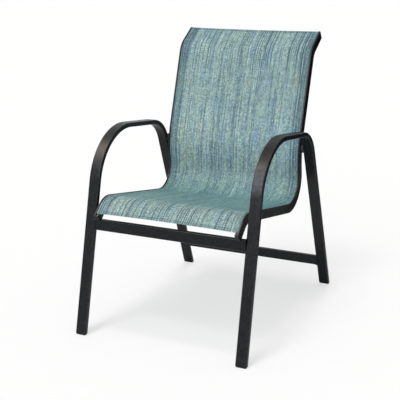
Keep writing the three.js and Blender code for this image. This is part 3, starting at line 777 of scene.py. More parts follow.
def yarn_colour(add, fields, colours):
    """The dye of warp and weft: teal, going to blue or sage by a hue field, with flecks and ribs."""
    hue = add("times_plus", fields["drift"], 0.3, fields["band"])
    hue = add("times_plus", fields["strand"], 0.3, hue)
    hue = add("minus", hue, 0.8)  # the mean of the three together

    # On the seat, where the eye sees most weft, the hues differ less. In the lower back they differ most,
    # and are a little bluer, and at the front edge they are greener.
    calm = add("times", add("range", fields["seat"], 0, 1, 1, 0.8), fields["calm_front"])
    hue = add("times", hue, add("plus", calm, fields["lower_back"]))
    hue = add("times_plus", fields["lower_back"], -0.05, hue)
    hue = add("plus", hue, add("range", fields["v"], 0.06, 0.16, 0.07, 0))
    dye = colours.teal
    for limit, tone in ((-HUE_REACH, colours.blue), (HUE_REACH, colours.sage)):
        share = add("range", hue, 0, limit)
        dye = add("mix", Factor=share, A=dye, B=tone)

    # Flecks: stretches of the strands with the highest chance turn cream, and of the lowest deep blue
    fleck = add("times", add("range", fields["streak"], 0.38, 0.54, 0, 0.7), calm)
    for test, limit, tone in (("above", 0.92, colours.cream), ("below", 0.17, colours.deep_blue)):
        these = add("times", add(test, fields["chance"], limit), fleck)
        dye = add("mix", Factor=these, A=dye, B=tone)

    # Ribs: a quarter of the strands turn deep blue towards the front and the top of the sling
    light = add("range", fields["strand"], 0.3, 0.6)
    rib = add("times", add("near", fields["chance"], 0.4, 0.12), add("times", fields["both_ends"], light))
    dye = add("mix", Factor=rib, A=dye, B=colours.deep_blue)
    weft = add("mix", Factor=0.45, A=colours.weft, B=dye)
    return add("mix", Factor=fields["warp_shows"], A=weft, B=dye)


def hem_shade(add, fields, colours):
    """What multiplies the cloth: painted shade over its doubled hems, which let no light through, and a painted
    shadow along the side seams.

    On the seat the side hems hardly show.
    """
    end_hem = bpy.context.scene.chair_sling.end_hem
    blur, seam_middle = 0.6 * MM, 1.2 * MM  # half the width of a soft edge, and edge to the shadow's middle
    reach = add("size", fields["u"])
    side = add("range", reach, HEM_EDGE - blur, HEM_EDGE + blur)
    edge = add("attribute", attribute_name="from_edge").outputs["Fac"]
    end = add("range", edge, end_hem + blur, end_hem - blur, 0, 0.6)
    seam = add("range", away(add, reach, HEM_EDGE + seam_middle), MM, 3 * MM, 0.45, 0)
    fade = add("range", fields["before_back"], 0, 1, 1, 0.25)
    side, seam = (add("times", line, fade) for line in (side, seam))
    hem = add("plus", add("larger", side, end), seam)
    return add("mix", Factor=hem, A=linear(WHITE), B=colours.hem_shade, clamp_factor=False)


def woven_sling(name, colours):
    """Plain weave of vinyl-coated polyester yarns, the lengthwise ones dyed in changing colours.

    Real strands are about 1 mm wide, too fine to show in the render, so they are drawn STRAND wide. That
    gives the eye thin streaks of blue, teal, sage and cream under a fine hatch. The doubled hems let no
    light through and read darker, which is painted into the colour as shade. Painted shade also darkens
    the hollows between the strands and the seat, and a painted lift of light brightens the lower back.
    """
    made, add, feed = material(name, {"IOR": 1.5, "Specular IOR Level": 0.18})
    fields = weave(add)
    for key, ((first, a), (second, b), shift) in DYE.items():
        x = add("times_plus", fields[first], a, shift)
        y = add("times", fields[second], b)
        fields[key] = add("flat_noise", Vector=add("point", x, y), Scale=1.0, Detail=1.0)
    for key, (origin, start, end, before, after) in PARTS.items():
        length = fields["v"] if origin is None else away(add, fields["v"], origin)
        fields[key] = add("smooth_range", length, start, end, before, after)
    fields["seat"] = add("times", fields["past_knee"], fields["before_back"])

    # Painted shade: the cloth is darker where the weave lies low, between the strands' rounded backs
    level = add("range", fields["height"], 0.3, 1, 0.46, 0.99)
    for key, dark, light, share in LIGHTNESS:
        level = add("times", level, add("range", fields[key], dark, light, 1 - share, 1 + share))
    # Painted shade: the seat is darkened, and so are the hems, with a painted shadow along the side seams
    painted_seat_shade_tint = add("mix", Factor=fields["seat"], A=linear(WHITE), B=colours.painted_seat_shade)
    woven = add("scale", yarn_colour(add, fields, colours), Scale=level)
    for shade in (painted_seat_shade_tint, hem_shade(add, fields, colours)):
        woven = add("tint", woven, shade)
    rough = add("range", fields["cell"], 0, 1, 0.62, 0.8)
    skin = add("bump", Height=fields["height"], Strength=0.35, Distance=0.25 * MM)
    feed({"Base Color": woven, "Roughness": rough, "Normal": skin})
    return made


FINISHES = {  # the record's slot, the material's name and what makes it
    "paint": ("black_powder_coat", "Black powder-coated steel tube", powder_coat),
    "plastic": ("black_plastic", "Moulded black polypropylene", moulded_plastic),
    "zinc": ("zinc_steel", "Zinc-plated steel", zinc_plate),
    "rod": ("hem_rod_plastic", "Extruded pale plastic rod", extruded_rod),
    "thread": ("woven_sling", "Spun polyester thread", spun_thread),
    "cloth": ("woven_sling", "Woven coated-yarn sling", woven_sling),
}


def finished(finish):
    """The material of a finish, made at its first use."""
    _, name, make = FINISHES[finish]
    return bpy.data.materials.get(name) or make(name, bpy.context.scene.chair_colours)


# Operators

def hollow_box(a, width, depth, corner, thickness):
    """The outline of a flat tube about (a, 0), and that of its hollow, a wall's thickness inside it."""
    inner = 2 * thickness
    return (rounded_box(a, 0, width, depth, corner),
            rounded_box(a, 0, width - inner, depth - inner, corner - thickness))


def painted_tube(name, stands_for, rings, outline, bores, hollow):
    """A powder-coated tube, with its corners marked as worn."""
    patch = tube(rings, outline, bores, hollow)
    piece(name, patch, "paint", stands_for, attributes={"edge": corner_wear(patch, outline)})


def stepped_plug(outer, plug, edge, flange, total, tip, tip_inset):
    """Levels and outlines of a plug behind a wider flange with a quarter-round edge and a bevelled tip.

    At an angle t the flange has shrunk by edge (1 - cos t), at edge (1 - sin t) behind its face.
    """
    t = np.linspace(math.pi / 2, 0, EDGE_STEPS + 1)
    levels = np.array([*(edge * (1 - np.sin(t))), flange, flange, total - tip, total])
    return levels, np.stack([*shrunk(outer, edge * (1 - np.cos(t))), outer, plug, plug,
                             *shrunk(plug, [tip_inset])])


class CHAIR_OT_side_frames(Operator):
    """Both side frames: one flat tube each, bent into front leg, arm and rear leg"""
    bl_idname = "chair.side_frames"
    bl_label = "Side frames"

    def execute(self, context):
        f = context.scene.chair_frame
        line = side_frame_line()
        stations = side_stations(*line.at(line.between(0, line.total)))
        level = f.glide_flange + FACE_GAP
        for side, sign in SIDES:
            outline, hollow = hollow_box(
                sign * f.spacing / 2, f.tube_width, f.tube_depth, f.tube_corner, f.tube_wall)
            rings, bores = carried(stations, outline), carried(stations, hollow)
            for walls in (rings, bores):
                cut_level(walls, 0, 1, level)
                cut_level(walls, -1, -2, level)
            painted_tube(f"{side}_side_frame_tube", f"{side}_side_frame",
                         leaned(rings, sign), outline, leaned(bores, sign), hollow)
        return {"FINISHED"}


class CHAIR_OT_foot_glides(Operator):
    """Four glides that plug the open ends of the legs and stand on the floor"""
    bl_idname = "chair.foot_glides"
    bl_label = "Foot glides"

    def execute(self, context):
        f = context.scene.chair_frame
        p = frame_layout()
        inset, clear = 2 * f.glide_inset, 2 * (f.tube_wall + FIT_GAP)
        for side, sign in SIDES:
            x = sign * f.spacing / 2
            outer = rounded_box(x, 0, f.tube_width - inset, f.tube_depth - inset, f.tube_corner + MM)
            plug = rounded_box(
                x, 0, f.tube_width - clear, f.tube_depth - clear, f.tube_corner - f.tube_wall)
            levels, shapes = stepped_plug(
                outer, plug, GLIDE_EDGE, f.glide_flange, f.glide_flange + f.glide_plug, tip=MM, tip_inset=MM)
            for end, foot, up in (("front", p["front"], p["leg_up"]), ("rear", p["rear"], p["rear_up"])):
                rings = np.stack([level_ring(shape, foot, up, level) for shape, level in zip(shapes, levels)])
                piece(f"{side}_{end}_glide", plugged(leaned(rings, sign)), "plastic",
                      f"{side}_{end}_foot_glide")
        return {"FINISHED"}


def level_ring(outline, foot, up, level):
    """An outline square to a leg, slid along the leg until each point lies at a level."""
    place = np.broadcast_to(foot, (1, 2))
    ring = carried(side_stations(place, np.broadcast_to(up, (1, 2))), outline)[0]
    slide = (level - ring[:, 2:]) / up[1]
    return ring + slide * np.array([0, up[0], up[1]])


def cross_stations(at, angle, xs):
    """Stations along X at a side view point: the A axis is turned by an angle from +Y, B from +Z."""
    xs = np.asarray(xs, float)
    y, z = np.full(len(xs), at[0] - CHAIR_LENGTH_MIDDLE), np.full(len(xs), at[1])
    c, s = heading(angle)
    axis = lambda *v: np.broadcast_to(np.array(v, float), (len(xs), 3))
    return np.stack([xs, y, z], axis=-1), axis(0, c, s), axis(0, -s, c)


class CHAIR_OT_cross_bars(Operator):
    """The front and rear cross bars between the side frames, with their weld beads"""
    bl_idname = "chair.cross_bars"
    bl_label = "Cross bars"

    def execute(self, context):
        f = context.scene.chair_frame
        p = frame_layout()
        half = f.spacing / 2 - f.tube_width / 2 - FACE_GAP
        bars = (("front", p["front_bar"], f.front_bar_height), ("rear", p["rear_bar"], f.rear_bar_height))
        for end, at, height in bars:
            outline, hollow = hollow_box(0, f.bar_depth, height, f.bar_corner, f.bar_wall)
            stations = cross_stations(at, 0, [-half, half])
            rings, bores = carried(stations, outline), carried(stations, hollow)
            for walls in (rings, bores):
                walls[..., 0] -= np.sign(walls[..., 0]) * math.tan(f.lean) * walls[..., 2]
            painted_tube(f"{end}_bar_tube", f"{end}_cross_bar", rings, outline, bores, hollow)
            for side, sign in SIDES:
                piece(f"{side}_{end}_bar_weld", weld_round(at, outline, sign * half, f.weld), "paint")
        return {"FINISHED"}


def weld_round(at, outline, x, radius):
    """A bead round a bar's end: small rings round the outline, their radius rippled along it.

    The ripple is 1 + 0.1 sin(34 a) + 0.05 sin(5 a), for the welder's steps and an unsteady hand.
    """
    lean = math.tan(sizes()[0].lean)
    around = np.linspace(0, 1, WELD_STEPS, endpoint=False)
    closed = np.concatenate([outline, outline[:1]])
    length = np.concatenate([[0], np.cumsum(np.linalg.norm(np.diff(closed, axis=0), axis=1))])
    normals = outline_normals(outline)
    normals = np.concatenate([normals, normals[:1]])
    pick = lambda values: np.stack([np.interp(around * length[-1], length, values[:, k]) for k in (0, 1)], -1)
    centre, out = pick(closed), pick(normals)
    out /= np.linalg.norm(out, axis=1, keepdims=True)
    a = around * 2 * math.pi
    ripple = radius * (1 + 0.1 * np.sin(34 * a) + 0.05 * np.sin(5 * a))
    t = np.linspace(0, 2 * math.pi, WELD_SIDES, endpoint=False)
    lift, across = ripple[:, None] * np.cos(t), ripple[:, None] * np.sin(t)
    side = centre[:, None] + out[:, None] * lift[..., None]
    z = at[1] + side[..., 1]
    x_leaned = x - math.copysign(lean, x) * z + across
    return closed_ring(np.stack([x_leaned, at[0] - CHAIR_LENGTH_MIDDLE + side[..., 0], z], -1))


def rail_outline(places):
    """The left rail's outline with its keyhole groove, which opens towards the fabric.

    The lip on the outer side stands above the cloth as a black border; the one inside lies lower.
    """
    r = sizes()[1]
    box = lowered(rounded_box(places["rail_x"], 0, r.width, r.depth, r.corner), 1)
    half = len(box) // 2
    mouth, lip, g = r.groove_mouth / 2, 0.5 * MM, places["groove_x"]
    bore = r.groove_bore / 2
    edge = math.degrees(math.asin(mouth / bore))
    return np.concatenate([
        box[:half],
        arc(g + mouth + lip, r.depth / 2 - lip, lip, 90, 180, EDGE_STEPS),
        arc(g, places["bore_b"], bore, 90 - edge, edge - 270, BORE_STEPS),
        arc(g - mouth - lip, r.depth / 2 - r.inner_drop - lip, lip, 0, 90, EDGE_STEPS),
        box[half:],
    ])


def lowered(box, sign):
    """A box outline whose upper corner on the chair's inner side and whose underside lie lower."""
    r = sizes()[1]
    quarter = len(box) // 4
    inner = slice(2 * quarter, 3 * quarter) if sign > 0 else slice(quarter, 2 * quarter)
    box[inner, 1] -= r.inner_drop
    box[box[:, 1] < 0, 1] -= r.underside
    return box


class CHAIR_OT_sling_rails(Operator):
    """Both sling rails: flat tube on edge, bent from the front bar up to the top of the back"""
    bl_idname = "chair.sling_rails"
    bl_label = "Sling rails"

    def execute(self, context):
        r = context.scene.chair_rail
        places = rail_places()
        line = rail_line()
        end = r.cap_thickness + FACE_GAP
        stations = side_stations(*line.at(line.between(end, line.total - end)))
        outline = rail_outline(places)
        cell = rounded_box(places["rail_x"], places["cell_b"], places["cell_width"], places["cell_depth"],
                           radius=0.6 * MM, steps=2)
        for side, sign in SIDES:
            outside, hollow = (outline, cell) if sign > 0 else (mirrored(outline), mirrored(cell))
            painted_tube(f"{side}_rail_tube", f"{side}_sling_rail",
                         carried(stations, outside), outside, carried(stations, hollow), hollow)
        return {"FINISHED"}


class CHAIR_OT_rail_caps(Operator):
    """End caps at the front and top ends of the rails"""
    bl_idname = "chair.rail_caps"
    bl_label = "Rail caps"

    def execute(self, context):
        r = context.scene.chair_rail
        places = rail_places()
        line = rail_line()
        inset, clear = 2 * r.cap_inset, 2 * FIT_GAP
        for side, sign in SIDES:
            x = sign * places["rail_x"]
            outer = lowered(
                rounded_box(x, 0, r.width - inset, r.depth - inset, r.corner + 2 * MM), sign)
            plug = rounded_box(x, places["cell_b"], places["cell_width"] - clear,
                               places["cell_depth"] - clear, radius=0.5 * MM)
            depths, shapes = stepped_plug(outer, plug, CAP_EDGE, r.cap_thickness,
                                          r.cap_thickness + r.cap_plug, tip=CAP_EDGE, tip_inset=0.4 * MM)
            for end, at, inwards in (("front", 0, 1), ("top", line.total, -1)):
                place, along = line.at(np.array([at]))
                slid = place + along * inwards * depths[:, None]
                stations = side_stations(slid, np.broadcast_to(along, slid.shape))
                piece(f"{side}_{end}_cap", plugged(carried(stations, shapes)), "plastic",
                      f"{side}_rail_{end}_cap")
        return {"FINISHED"}


class CHAIR_OT_rail_joints(Operator):
    """Spacers, washers and socket-head bolts where the rails are bolted to the side frames"""
    bl_idname = "chair.rail_joints"
    bl_label = "Rail joints"

    def execute(self, context):
        r = context.scene.chair_rail
        places = rail_places()
        at = places["bolt"] - [CHAIR_LENGTH_MIDDLE, 0]
        hole = BOLT_HOLE / 2
        upper_half = np.clip(np.sin(turn_angles()), 0, 1)[:, None]
        stretch = r.spacer_rise * upper_half * [0, *heading(math.pi / 2 - r.lower_back_lean / 2)]
        outside = places["rail_back"] - FACE_GAP
        seat = outside - WASHER_THICKNESS - FACE_GAP
        for side, sign in SIDES:
            profile = ring_profile(hole, SPACER / 2, places["rail_face"] + FACE_GAP, places["spacer_end"],
                                   edge=0.8 * MM)
            outer = (profile[:, 0] > hole)[:, None, None]
            piece(f"{side}_joint_spacer", closed_ring(turned(profile, at, sign) + outer * stretch),
                  "plastic", f"{side}_rail_spacer")
            profile = ring_profile(hole, WASHER / 2, outside - WASHER_THICKNESS, outside, edge=0.3 * MM)
            piece(f"{side}_joint_washer", closed_ring(turned(profile, at, sign)), "zinc",
                  f"{side}_rail_washer")
            bolt = bolt_points(seat, places["face"] + BOLT_BEYOND, at, sign)
            piece(f"{side}_joint_bolt", plugged(bolt), "zinc", f"{side}_rail_bolt")
            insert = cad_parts[f"{side}_frame_insert"].data
            insert.materials.clear()
            insert.materials.append(finished("zinc"))
        return {"FINISHED"}


def ring_profile(inner, outer, start, end, edge):
    """(radius, x) round a ring's section, with quarter-round outer edges."""
    low = arc(start + edge, outer - edge, edge, 180, 90, EDGE_STEPS)[:, ::-1]
    high = arc(end - edge, outer - edge, edge, 90, 0, EDGE_STEPS)[:, ::-1]
    return np.concatenate([[[inner, start]], low, high, [[inner, end]]])


def bolt_points(seat, end, at, sign):
    """A button head with a hexagon socket, and a shank: radii times a hexagon where the socket is.

    From the socket's rim to the head's, the dome's radius grows as sin t and its height falls as cos t.
    """
    head, high, skirt, chamfer = 6 * MM, 3.6 * MM, 0.8 * MM, 0.2 * MM
    socket, deep, rim = 2.3 * MM, 2 * MM, 0.6 * MM
    middle = socket * 0.02  # of the socket's floor: a face too small to see
    shank, point = BOLT / 2, 0.8 * MM
    top = seat - high
    t = np.radians(np.linspace(0, 90, 9))
    dome = np.stack([socket + rim + (head - socket - rim) * np.sin(t),
                     seat - skirt - (high - skirt) * np.cos(t)], -1)
    profile = np.concatenate([
        [[middle, top + deep], [socket, top + deep], [socket, top]],
        dome,
        [[head, seat - chamfer], [head - chamfer, seat], [shank, seat], [shank, end - MM],
         [shank - point, end]],
    ])
    shape = np.ones((len(profile), TURN_STEPS))
    shape[:3] = hexagon()
    return turned(profile, at, sign, shape)


class CHAIR_OT_spreader_bars(Operator):
    """Two bars behind the fabric that keep the rails apart"""
    bl_idname = "chair.spreader_bars"
    bl_label = "Spreader bars"

    def execute(self, context):
        r = context.scene.chair_rail
        corners = rail_corners()
        half = rail_places()["rail_back"] - FACE_GAP
        behind = r.depth / 2 - r.spreader_under - r.spreader_depth / 2
        outline, hollow = hollow_box(
            0, r.spreader_width, r.spreader_depth, corner=2 * MM, thickness=1.2 * MM)
        bars = (("seat", 1, -r.seat_fall, r.seat_length * r.seat_spreader),
                ("back", 3, math.pi / 2 - r.upper_back_lean, r.upper_back_length * r.back_spreader))
        for name, corner, angle, distance in bars:
            along = heading(angle)
            at = corners[corner] + along * distance + left_of(along) * behind
            stations = cross_stations(at, angle, [-half, half])
            painted_tube(f"{name}_spreader_tube", f"{name}_spreader_bar",
                         carried(stations, outline), outline, carried(stations, hollow), hollow)
        return {"FINISHED"}


# Sling

def sling_section():
    """Half of the sling's section as (x, b), from the middle outwards and back to the hem's inner edge.

    The upper ply runs over the rail and down into the groove, round the rod, up again, and back inwards
    under the upper ply as the side hem.
    """
    _, r, s = sizes()
    places = rail_places()
    g, bore = places["groove_x"], places["bore_b"]
    low = r.depth / 2 - r.inner_drop + FIT_GAP + s.ply / 2
    high = low + s.ply
    near = 1.4 * MM  # the fold's corners are cut this far from their tips
    loop = s.rod / 2 + FIT_GAP / 2 + s.ply / 2
    out, back = g + s.ply / 2, g - s.ply / 2
    neck = bore + loop + 0.5 * MM
    fold = smoothed(np.concatenate([
        [[out - near, high], [out, high], [out, high - near], [out, neck]],
        arc(g, bore, loop, 62, -242, 13),  # clockwise round the rod, from neck to neck
        [[back, neck], [back, low - near / 2], [back, low], [back - near / 2, low]],
    ]))
    middle = np.linspace(0, out - 2 * near, 46)
    hem = np.linspace(back - 2 * near, g - s.side_hem, 6)
    return np.concatenate([
        np.stack([middle, np.full_like(middle, high)], -1), fold,
        np.stack([hem, np.full_like(hem, low)], -1),
    ])


class CHAIR_OT_hem_rods(Operator):
    """The rods in the side hems that keep the sling in the rails' grooves"""
    bl_idname = "chair.hem_rods"
    bl_label = "Hem rods"

    def execute(self, context):
        s = context.scene.chair_sling
        places = rail_places()
        line = rail_line()
        start, end = s.front_setback + ROD_INSET, line.total - s.top_setback - ROD_INSET
        stations = side_stations(*line.at(line.between(start, end)))
        for side, sign in SIDES:
            outline = arc(sign * places["groove_x"], places["bore_b"], s.rod / 2, 0, 360, 20)[:-1]
            piece(f"{side}_sling_rod", plugged(carried(stations, outline)), "rod", f"{side}_hem_rod")
        return {"FINISHED"}


class CHAIR_OT_sling(Operator):
    """The sling: one sheet of woven mesh, hemmed on all sides, held in the rails by its hem rods"""
    bl_idname = "chair.sling"
    bl_label = "Sling"

    def execute(self, context):
        line = rail_line()
        half = sling_section()
        cloth, flat = self.cloth(line, half)
        stitches = self.stitches(line, half[0, 1])
        return {"FINISHED"}

    def cloth(self, line, half):
        """The sheet: its section carried along the rails, half a ply to each side and closed at its edges.

        At the front and top hems the lower side drops by nearly a ply more, and there is a lip where
        both sides come together. Returns the piece and its flat width and length.
        """
        s = sizes()[2]
        section = np.concatenate([(half * [-1, 1])[:0:-1], half])
        steps = np.linalg.norm(np.diff(section, axis=0), axis=1)
        across = np.concatenate([[0], np.cumsum(steps)])
        across -= across[-1] / 2
        chord = np.gradient(section, across, axis=0)
        normal = left_of(chord / np.linalg.norm(chord, axis=1, keepdims=True))
        start, end = sling_span(line, section[:, 0])
        lengths = start + (end - start) * sling_rows(line)[:, None]
        b = section[None, :, 1] + sling_lift(line, lengths, section[:, 0])
        from_edge = np.minimum(lengths - start, end - lengths)
        hem = 1 - np.clip((from_edge - s.end_hem) / HEM_STEP + 0.5, 0, 1)
        lip = np.clip(from_edge / LIP, 0, 1)
        on_seat = np.abs(section[:, 0]) < half[:, 0].max() - GROOVE_CLEAR
        over = s.ply / 2 * (0.5 + 0.5 * lip)
        under = over + s.ply * 0.9 * hem * lip * on_seat
        sides = [sling_points(line, lengths, section[:, 0] + normal[:, 0] * shift, b + normal[:, 1] * shift)
                 for shift in (over, -under)]
        rows, columns = lengths.shape
        first = rows * columns
        faces = [net(rows, columns), net(rows, columns, first)[:, ::-1]]
        grid = np.arange(first).reshape(rows, columns)
        for rim, flip in ((grid[0], False), (grid[-1], True), (grid[:, 0], True), (grid[:, -1], False)):
            a, c = rim[:-1], rim[1:]
            strip = np.stack([c, a, a + first, c + first], axis=-1)
            faces.append(strip[:, ::-1] if flip else strip)
        uv = np.stack([np.broadcast_to(across, lengths.shape), lengths - start.min()], axis=-1)
        cloth = piece("sling_cloth", (np.concatenate(sides).reshape(-1, 3), np.concatenate(faces).tolist()),
                      "cloth", "sling", smooth_below=60, uv=np.tile(uv.reshape(-1, 2), (2, 1)),
                      attributes={"from_edge": np.tile(from_edge.ravel(), 2)})
        return cloth, (float(across[-1] - across[0]), float((end - start).mean()))

    def stitches(self, line, level):
        """Seams along the four hems: each stitch is a small ellipsoid half sunk in the cloth."""
        s = sizes()[2]
        g = rail_places()["groove_x"]
        inwards = 2 * MM  # from a hem's inner edge to its seam
        seam_x = g - s.side_hem + inwards
        start, end = (v.mean() for v in sling_span(line, np.array([seam_x])))
        count = int((end - start - 2 * inwards) / s.stitch)
        along = start + inwards + (np.arange(count) + 0.5) * s.stitch
        width = 2 * (g - GROOVE_CLEAR)
        number = int(width / s.stitch)
        xs = (np.arange(number) + 0.5) / number * width - width / 2
        first, last = sling_span(line, xs)
        seams = [(np.full(count, sign * seam_x), along, True) for _, sign in SIDES]
        seams += [(xs, first + s.end_hem - inwards, False), (xs, last - s.end_hem + inwards, False)]
        half_run = 0.42 * s.stitch  # what is left of a stitch is the gap to the next
        run, side, lift = (ellipsoid() * [half_run, s.thread / 2, s.thread / 2]).T
        stitches = []
        for x, length, lengthwise in seams:
            d_length, d_x = (run, side) if lengthwise else (side, run)
            x, length = x[:, None] + d_x, length[:, None] + d_length
            b = level + s.ply / 2 + sling_lift(line, length, x) + lift
            stitches.append(sling_points(line, length, x, b))
        return piece("sling_stitching", ellipsoid_faces(np.concatenate(stitches)), "thread",
                     smooth_below=180)


def ellipsoid():
    """A ball of radius 1 about its x axis: a pole, three rings of six at cos t, and a pole."""
    t = np.linspace(0, math.pi, 5)[1:-1, None]
    u = np.linspace(0, 2 * math.pi, 6, endpoint=False)
    rings = np.stack([np.cos(t) + 0 * u, np.sin(t) * np.cos(u), np.sin(t) * np.sin(u)], -1)
    return np.concatenate([[[1, 0, 0]], rings.reshape(-1, 3), [[-1, 0, 0]]])


def ellipsoid_faces(points):
    """Triangles at the poles and quads between the rings of many ellipsoids, one in each row."""
    count, each = points.shape[:2]
    ring = np.arange(6)
    after = (ring + 1) % 6
    parts = [np.stack([k + ring, k + after, k + 6 + after, k + 6 + ring], -1) for k in (1, 7)]
    parts += [np.stack([0 * ring, 1 + after, 1 + ring], -1),
              np.stack([0 * ring + each - 1, 13 + ring, 13 + after], -1)]
    first = (np.arange(count) * each)[:, None, None]
    faces = []
    for part in parts:
        faces += (first + part).reshape(-1, part.shape[1]).tolist()
    return points.reshape(-1, 3), faces


def bow(x):
    """1 in the middle and 0 at the rails: 1 - (x / reach) squared."""
    return np.clip(1 - (x / rail_places()["groove_x"]) ** 2, 0, 1)


def sling_span(line, x):
    """Lengths of the front and top edges, which are hollow between the rails."""
    s = sizes()[2]
    return s.front_setback + s.front_hollow * bow(x), line.total - s.top_setback - s.top_hollow * bow(x)


def sling_rows(line):
    """Shares along the sling, close together at both edges and hems, even between."""
    near_edge = [0, 0.25, 0.5, 1.2, 2.5, 4.5, 7, 9.5, 10.6, 11.4, 12.2, 13.5]  # in mm
    fine = np.array(near_edge) * MM / line.total
    inset = 16 * MM / line.total
    return np.concatenate([fine, np.linspace(inset, 1 - inset, SLING_ROWS), 1 - fine[::-1]])


def bump(lengths, centre, width):
    """A smooth hill of height 1: the square of the cosine of the distance over its width."""
    t = np.clip((lengths - centre) / width, -1, 1)
    return np.cos(t * math.pi / 2) ** 2


def bend_centres(line):
    """Lengths along the line of the middles of its four bends."""
    return [line.lengths[np.argmin(np.linalg.norm(line.places - corner, axis=1))]
            for corner in rail_corners()[1:-1]]


def sling_lift(line, lengths, x):
    """How far tension moves the cloth off the rails' line, most in the middle: in at the knee, the
    lumbar bend and the curl, out at the hip."""
    s = sizes()[2]
    knee, hip, lumbar, curl = bend_centres(line)
    hills = (  # each one's middle, its height, and how far it reaches to both sides
        (hip, s.hip_rise, 130 * MM), (knee, -s.knee_dip, 70 * MM), (curl, -s.curl_dip, 70 * MM),
        (lumbar, -2 * MM, 140 * MM))
    return sum(height * bump(lengths, middle, reach) for middle, height, reach in hills) * bow(x)


def sling_points(line, lengths, x, b):
    """Points of the sling: the rail line's place at each length, plus b along its normal, at x."""
    place, along = line.at(lengths)
    side = place + left_of(along) * b[..., None]
    x = np.broadcast_to(x, lengths.shape)
    return np.stack([x, side[..., 0] - CHAIR_LENGTH_MIDDLE, side[..., 1]], axis=-1)


# Stage

CAMERA_PLACE = (1.18973, -2.50568, 1.14077)
CAMERA_AZIMUTH = math.radians(26.141)
CAMERA_PITCH = math.radians(15.524)
CAMERA_ROLL = math.radians(-0.396)
CAMERA_LENS, SENSOR_WIDTH = 80.186, 36  # both in mm
SKY_LEVEL = 0.56  # the sky's share of the light; where it is seen or mirrored, it is white
FLOOR_WHITE = 0.57  # the share of the floor that the camera sees as plain white
FLOOR_RADIUS, FLOOR_SIDES, FLOOR_LEVEL = 60, 96, -0.1 * MM
SOFTBOXES = {  # where the light comes from, its spread in degrees, its level, and whether gloss sees it
    "overhead_softbox": ((-0.05, -0.05, 1.0), 9, 0.2, True),
    "front_softbox": ((-0.15, -0.5, 1.0), 16, 0.2, True),
    "front_fill": ((-0.2, -1.0, 0.5), 50, 0.2, False),
}
WARM, COOL = "#fff0e2", "#f4f6ff"


def level_card(west, east, near, far, height):
    """The corners of a level card between two x, two y and at a height, all in metres."""
    return ((west, near, height), (east, near, height), (east, far, height), (west, far, height))


CARDS = {  # each card's corners, its strength and its colour
    "right_rear_flag": (((0.3, 2.3, 0.0), (2.4, 0.2, 0.0), (2.4, 0.2, 2.6), (0.3, 2.3, 2.6)), 0.0, WHITE),
    "rail_flag": (level_card(0.55, 1.35, 1.0, 1.75, 0.01), 0.2, WHITE),
    "leg_flag": (level_card(0.45, 1.35, 0.4, 1.0, 0.01), 0.0, WHITE),
    "arm_card": (level_card(-1.35, -0.6, -0.9, -0.25, 1.6), 11.5, WARM),
    "arm_front_card": (level_card(-1.5, -1.0, -1.5, -0.9, 1.6), 5.5, COOL),
    "other_arm_card": (level_card(-0.5, 0.0, -0.8, -0.4, 1.6), 10.5, WARM),
    "other_arm_front_card": (
        ((-0.7, -2.1, 1.12), (-0.2, -2.1, 1.12), (-0.05, -0.85, 1.6), (-0.5, -0.85, 1.6)), 16.0, COOL),
    "under_seat_card": (level_card(-0.3, 0.3, -0.6, 0.2, 0.01), 1.15, WHITE),
}


